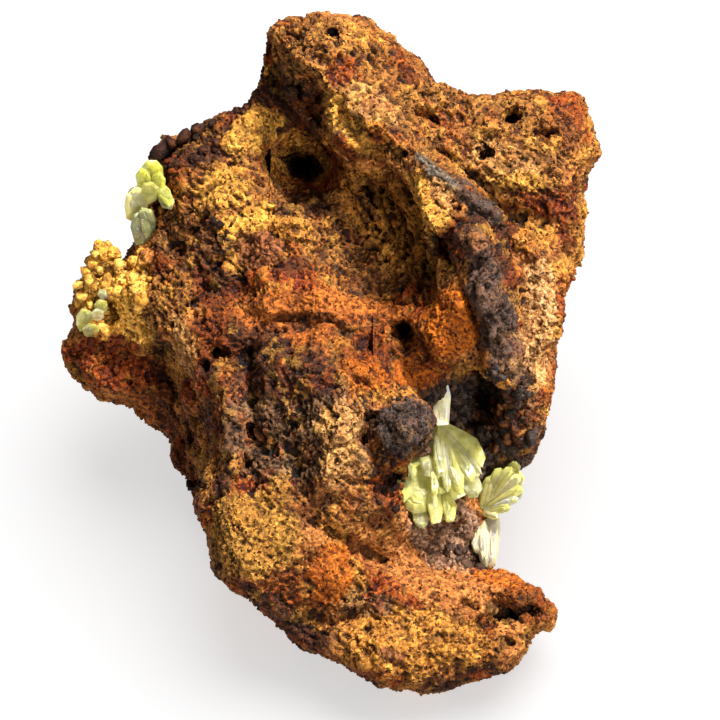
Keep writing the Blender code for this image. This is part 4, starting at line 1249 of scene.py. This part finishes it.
class PaintBox:
    """One material and its nodes."""

    def __init__(self, name):
        self.material = bpy.data.materials.new(name)
        self.material.use_nodes = True
        self.tree = self.material.node_tree
        self.tree.nodes.clear()
        self.place = self.node("ShaderNodeTexCoord").outputs["Object"]

    def node(self, kind, settings=None, sockets=None):
        node = self.tree.nodes.new(kind)
        for name, value in (settings or {}).items():
            setattr(node, name, value)
        for name, value in (sockets or {}).items():
            if isinstance(value, Value):
                value = value.socket
            if isinstance(value, bpy.types.NodeSocket):
                self.tree.links.new(value, node.inputs[name])
            else:
                node.inputs[name].default_value = value
        return node

    def painted(self, name, output="Fac"):
        """The socket of what was painted on the mesh under a name."""
        return self.node("ShaderNodeAttribute", {"attribute_name": name}).outputs[output]

    def noise(self, size, detail=2.0, roughness=0.55, distortion=0.0):
        """A noise from 0 to 1 with features of the given size in metres."""
        node = self.node("ShaderNodeTexNoise", None, {
            "Vector": self.place, "Scale": 1 / size, "Detail": detail, "Roughness": roughness,
            "Distortion": distortion,
        })
        return Value(self, node.outputs["Fac"])

    def cells(self, size, wobble):
        """Distance to the nearest cell centre as a share of the size, and a number for that cell."""
        shake = self.node(
            "ShaderNodeTexNoise", None, {"Vector": self.place, "Scale": 1.3 / size, "Detail": 1.0},
        )
        push = self.node(
            "ShaderNodeVectorMath", {"operation": "MULTIPLY_ADD"},
            {0: shake.outputs["Color"], 1: (wobble,) * 3, 2: self.place},
        )
        node = self.node("ShaderNodeTexVoronoi", None, {"Vector": push.outputs[0], "Scale": 1 / size})
        number = self.node("ShaderNodeSeparateColor", None, {"Color": node.outputs["Color"]})
        return Value(self, node.outputs["Distance"]), Value(self, number.outputs["Red"])

    def between(self, value, low, high):
        """0 where the value is under low and 1 where it is over high."""
        node = self.node(
            "ShaderNodeMapRange", {"interpolation_type": "SMOOTHSTEP"},
            {"Value": value, "From Min": low, "From Max": high},
        )
        return Value(self, node.outputs["Result"])

    def mix(self, amount, first, second, blend="MIX"):
        node = self.node("ShaderNodeMix", {"data_type": "RGBA", "blend_type": blend}, {0: amount})
        for index, value in ((6, first), (7, second)):
            if isinstance(value, bpy.types.NodeSocket):
                self.tree.links.new(value, node.inputs[index])
            else:
                node.inputs[index].default_value = (*value, 1)
        return node.outputs[2]

    def shade(self, colour, steps):
        """A colour multiplied by one tint after another, each by its amount."""
        for amount, tint in steps:
            colour = self.mix(amount, colour, tint, "MULTIPLY")
        return colour

    def finish(self, shader):
        self.node("ShaderNodeOutputMaterial", None, {"Surface": shader.outputs[0]})
        return self.material


def rock_finish(name):
    """Earthy iron oxide: the painted mineral colours, with grains, flecks and crisp pores, painted shade on
    the pores' floors, painted highlights on their rims and painted glints.
    """
    box = PaintBox(name)
    gloss, porous = Value(box, box.painted("gloss")), Value(box, box.painted("porous"))
    grain = box.noise(0.36 * MM, detail=4.0, roughness=0.75)
    speckle = box.noise(0.14 * MM, detail=1.0)
    hues = box.noise(1.3 * MM, detail=4.0, roughness=0.7)
    flake, flake_pick = box.cells(0.42 * MM, wobble=0.25 * MM)
    hole, hole_pick = box.cells(0.80 * MM, wobble=0.75 * MM)
    pick = box.between(hole_pick, 0.30, 0.34)
    spread = hole + (1 - hole_pick) * 0.22
    pore = (1 - box.between(spread, 0.34, 0.41)) * pick
    rim = box.between(spread, 0.38, 0.43) * (1 - box.between(spread, 0.46, 0.60)) * pick * porous
    colour = box.shade(box.painted("tint", "Color"), (
        (box.between(hues, 0.52, 0.60) * 0.35, GOLDEN),
        (box.between(1 - hues, 0.54, 0.62) * 0.35, SHADY),
        (box.between(flake_pick, 0.55, 1.0) * 0.6, PALE_FLAKE),
        (box.between(1 - flake_pick, 0.55, 1.0) * 0.6, DARK_FLAKE),
        (box.between(grain, 0.55, 0.61) * 0.45, PALE_GRAIN),
        (box.between(1 - grain, 0.55, 0.61) * 0.45, DARK_GRAIN),
        # painted highlight on the pores' rims
        (rim * 0.7, PAINTED_RIM_HIGHLIGHT),
        # painted glints
        (box.between(speckle, 0.62, 0.68) * 0.4, GLINT),
        # painted shade on the pores' floors
        (pore * (porous * 0.45 + 0.5), PAINTED_PORE_SHADE),
    ))
    height = grain * 0.35 + speckle * 0.15 - flake * 0.5 + flake_pick * 0.35 + rim * 0.25 - pore * 0.9
    bump = box.node("ShaderNodeBump", None, {"Height": height, "Strength": 1.0, "Distance": 0.30 * MM})
    shader = box.node("ShaderNodeBsdfPrincipled", None, {
        "Base Color": colour,
        "Roughness": 0.85 - gloss * 0.6 - box.between(speckle, 0.60, 0.75) * 0.25,
        "Normal": bump.outputs[0],
        "Specular IOR Level": 0.16,
    })
    return box.finish(shader)


def crystal_finish(name, haze, roughness, painted_glow):
    """Clear crystal with milky zones, veils, growth lines along it that also serve as painted glints, and a
    coloured body with a painted glow for the light scattered inside it.
    """
    box = PaintBox(name)
    milk, across = Value(box, box.painted("milk")), Value(box, box.painted("across"))
    clouds = box.noise(1.3 * MM, detail=3.0)
    veil = box.noise(0.5 * MM, detail=3.0, distortion=1.0)
    lines = Value(box, box.node(
        "ShaderNodeTexNoise", {"noise_dimensions": "1D"}, {"W": across * (1 / (0.30 * MM)), "Detail": 2.0},
    ).outputs["Fac"])
    colour = box.shade(box.painted("tint", "Color"), (
        (box.between(clouds, 0.35, 0.65) * 0.6, CLEAR_ZONE),
        (box.between(1 - clouds, 0.45, 0.70) * 0.7, DEEP_ZONE),
    ))
    colour = box.mix(box.between(veil, 0.58, 0.66) * 0.30, colour, VEIL)
    # growth lines, light streaks that are also painted glints
    colour = box.mix(box.between(lines, 0.60, 0.68) * 0.30, colour, GROWTH_LINE_AND_GLINT)
    bump = box.node("ShaderNodeBump", None, {
        "Height": lines * 0.7 + veil * 0.3, "Strength": 0.5, "Distance": 0.08 * MM,
    })
    clear = box.node("ShaderNodeBsdfPrincipled", None, {
        "Base Color": CLEAR_PART,
        "Roughness": roughness,
        "IOR": 1.65,
        "Transmission Weight": 1.0,
        "Normal": bump.outputs[0],
    })
    body = box.node("ShaderNodeBsdfPrincipled", None, {
        "Base Color": colour,
        "Roughness": roughness + 0.03,
        "IOR": 1.6,
        "Subsurface Weight": 0.8,
        "Subsurface Radius": (1.0, 1.0, 0.35),
        "Subsurface Scale": 2.0 * MM,
        # painted glow: the crystal glows in its own colour, standing in for light scattered inside it
        "Emission Color": colour,
        "Emission Strength": painted_glow,
        "Normal": bump.outputs[0],
    })
    share = box.between(milk + clouds * 0.3 - 0.05 + haze, 0.0, 1.0)
    mixed = box.node("ShaderNodeMixShader", None, {0: share, 1: clear.outputs[0], 2: body.outputs[0]})
    return box.finish(mixed)


def floor_finish():
    box = PaintBox("pale_floor")
    grain = box.noise(40 * MM)
    colour = box.mix(grain, (0.79, 0.79, 0.79), (0.81, 0.81, 0.81))
    return box.finish(box.node("ShaderNodeBsdfPrincipled", None, {
        "Base Color": colour, "Roughness": 0.8, "Specular IOR Level": 0.1,
        "Emission Color": (1.0, 1.0, 1.0, 1.0), "Emission Strength": FLOOR_GLOW,
    }))


def give(obj, material):
    obj.data.materials.clear()
    obj.data.materials.append(material)


# ---------------------------------------------------------------- studio

def add_camera():
    """A camera square to the show face, which it fills the view with."""
    camera = bpy.data.objects.new("camera", bpy.data.cameras.new("camera"))
    bpy.context.scene.collection.objects.link(camera)
    camera.data.lens = LENS
    camera.data.sensor_width = SENSOR
    camera.data.clip_end = 10
    camera.matrix_world = Matrix.Translation(EYE) @ Matrix.Rotation(FACE_TIP, 4, "X")
    bpy.context.scene.camera = camera


def add_light(name, place, size, power, floor, floor_only):
    """A round light aimed at the specimen, which lights the floor alone or all but the floor."""
    light = bpy.data.lights.new(name, "AREA")
    light.shape = "DISK"
    light.size = size
    light.energy = power
    obj = bpy.data.objects.new(name, light)
    bpy.context.scene.collection.objects.link(obj)
    aim = Vector(place) - FACE_MIDDLE
    obj.matrix_world = Matrix.Translation(place) @ aim.to_track_quat("Z", "Y").to_matrix().to_4x4()
    lit = bpy.data.collections.new(f"lit_by_{name}")
    lit.objects.link(floor)
    lit.collection_objects[0].light_linking.link_state = "INCLUDE" if floor_only else "EXCLUDE"
    obj.light_linking.receiver_collection = lit


def add_studio():
    bpy.ops.mesh.primitive_plane_add(size=FLOOR_WIDTH, location=(0, 0, 0))
    floor = bpy.context.active_object
    floor.name = "floor"
    give(floor, floor_finish())
    for name, (place, size, power) in LIGHTS.items():
        add_light(name, place, size, power, floor, floor_only=name == "floor_wash")
    world = bpy.data.worlds.new("studio")
    world.use_nodes = True
    sky = world.node_tree.nodes["Background"].inputs
    sky["Color"].default_value = (1, 1, 1, 1)
    sky["Strength"].default_value = SKY_STRENGTH
    bpy.context.scene.world = world
    bpy.context.scene.view_settings.view_transform = "Standard"


# ---------------------------------------------------------------- the specimen

def add_piece(piece, material, slot, *nodes):
    """Gives a piece its material and its body, and hides the CAD nodes that it stands in for; its slot is not
    used.
    """
    give(piece, material)
    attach(piece, "root")
    if nodes:
        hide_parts(*nodes)


def main():
    rng = np.random.default_rng(SEED)
    add_camera()
    add_studio()
    limonite = rock_finish("limonite")
    rock, rows = build_rock()
    lumps = build_lumps("rock_lumps", rock, rng)
    crumbs = [build_crumbs(name, rock.data, rows, rng) for name in ("rock_crumbs", "rock_grit")]
    for part in cut_up(rock):
        add_piece(part, limonite, "limonite", "matrix")
    add_piece(lumps, limonite, "limonite")
    for piece in crumbs:
        add_piece(piece, limonite, "limonite")
    adamite = crystal_finish("adamite", haze=0.0, roughness=0.05, painted_glow=0.10)
    pale = crystal_finish("pale_mineral", haze=0.15, roughness=0.25, painted_glow=0.20)
    spray = VUG_CRYSTALS | spread_blades(LEAF_ROOT, LEAF_BLADES) | spread_blades(FAN_ROOT, FAN_BLADES)
    for name, table, finish, slot, node in (
        ("vug_crystals", spray, adamite, "adamite", "adamite_vug_spray"),
        ("upper_left_crystals", UPPER_LEFT_CRYSTALS, adamite, "adamite", "adamite_upper_left"),
        ("left_crystals", LEFT_CRYSTALS, adamite, "adamite", "adamite_left"),
        ("pale_blades", PALE_BLADES, pale, "pale_mineral", "pale_crust"),
    ):
        add_piece(build_crystals(name, table, rng), finish, slot, node)


main()
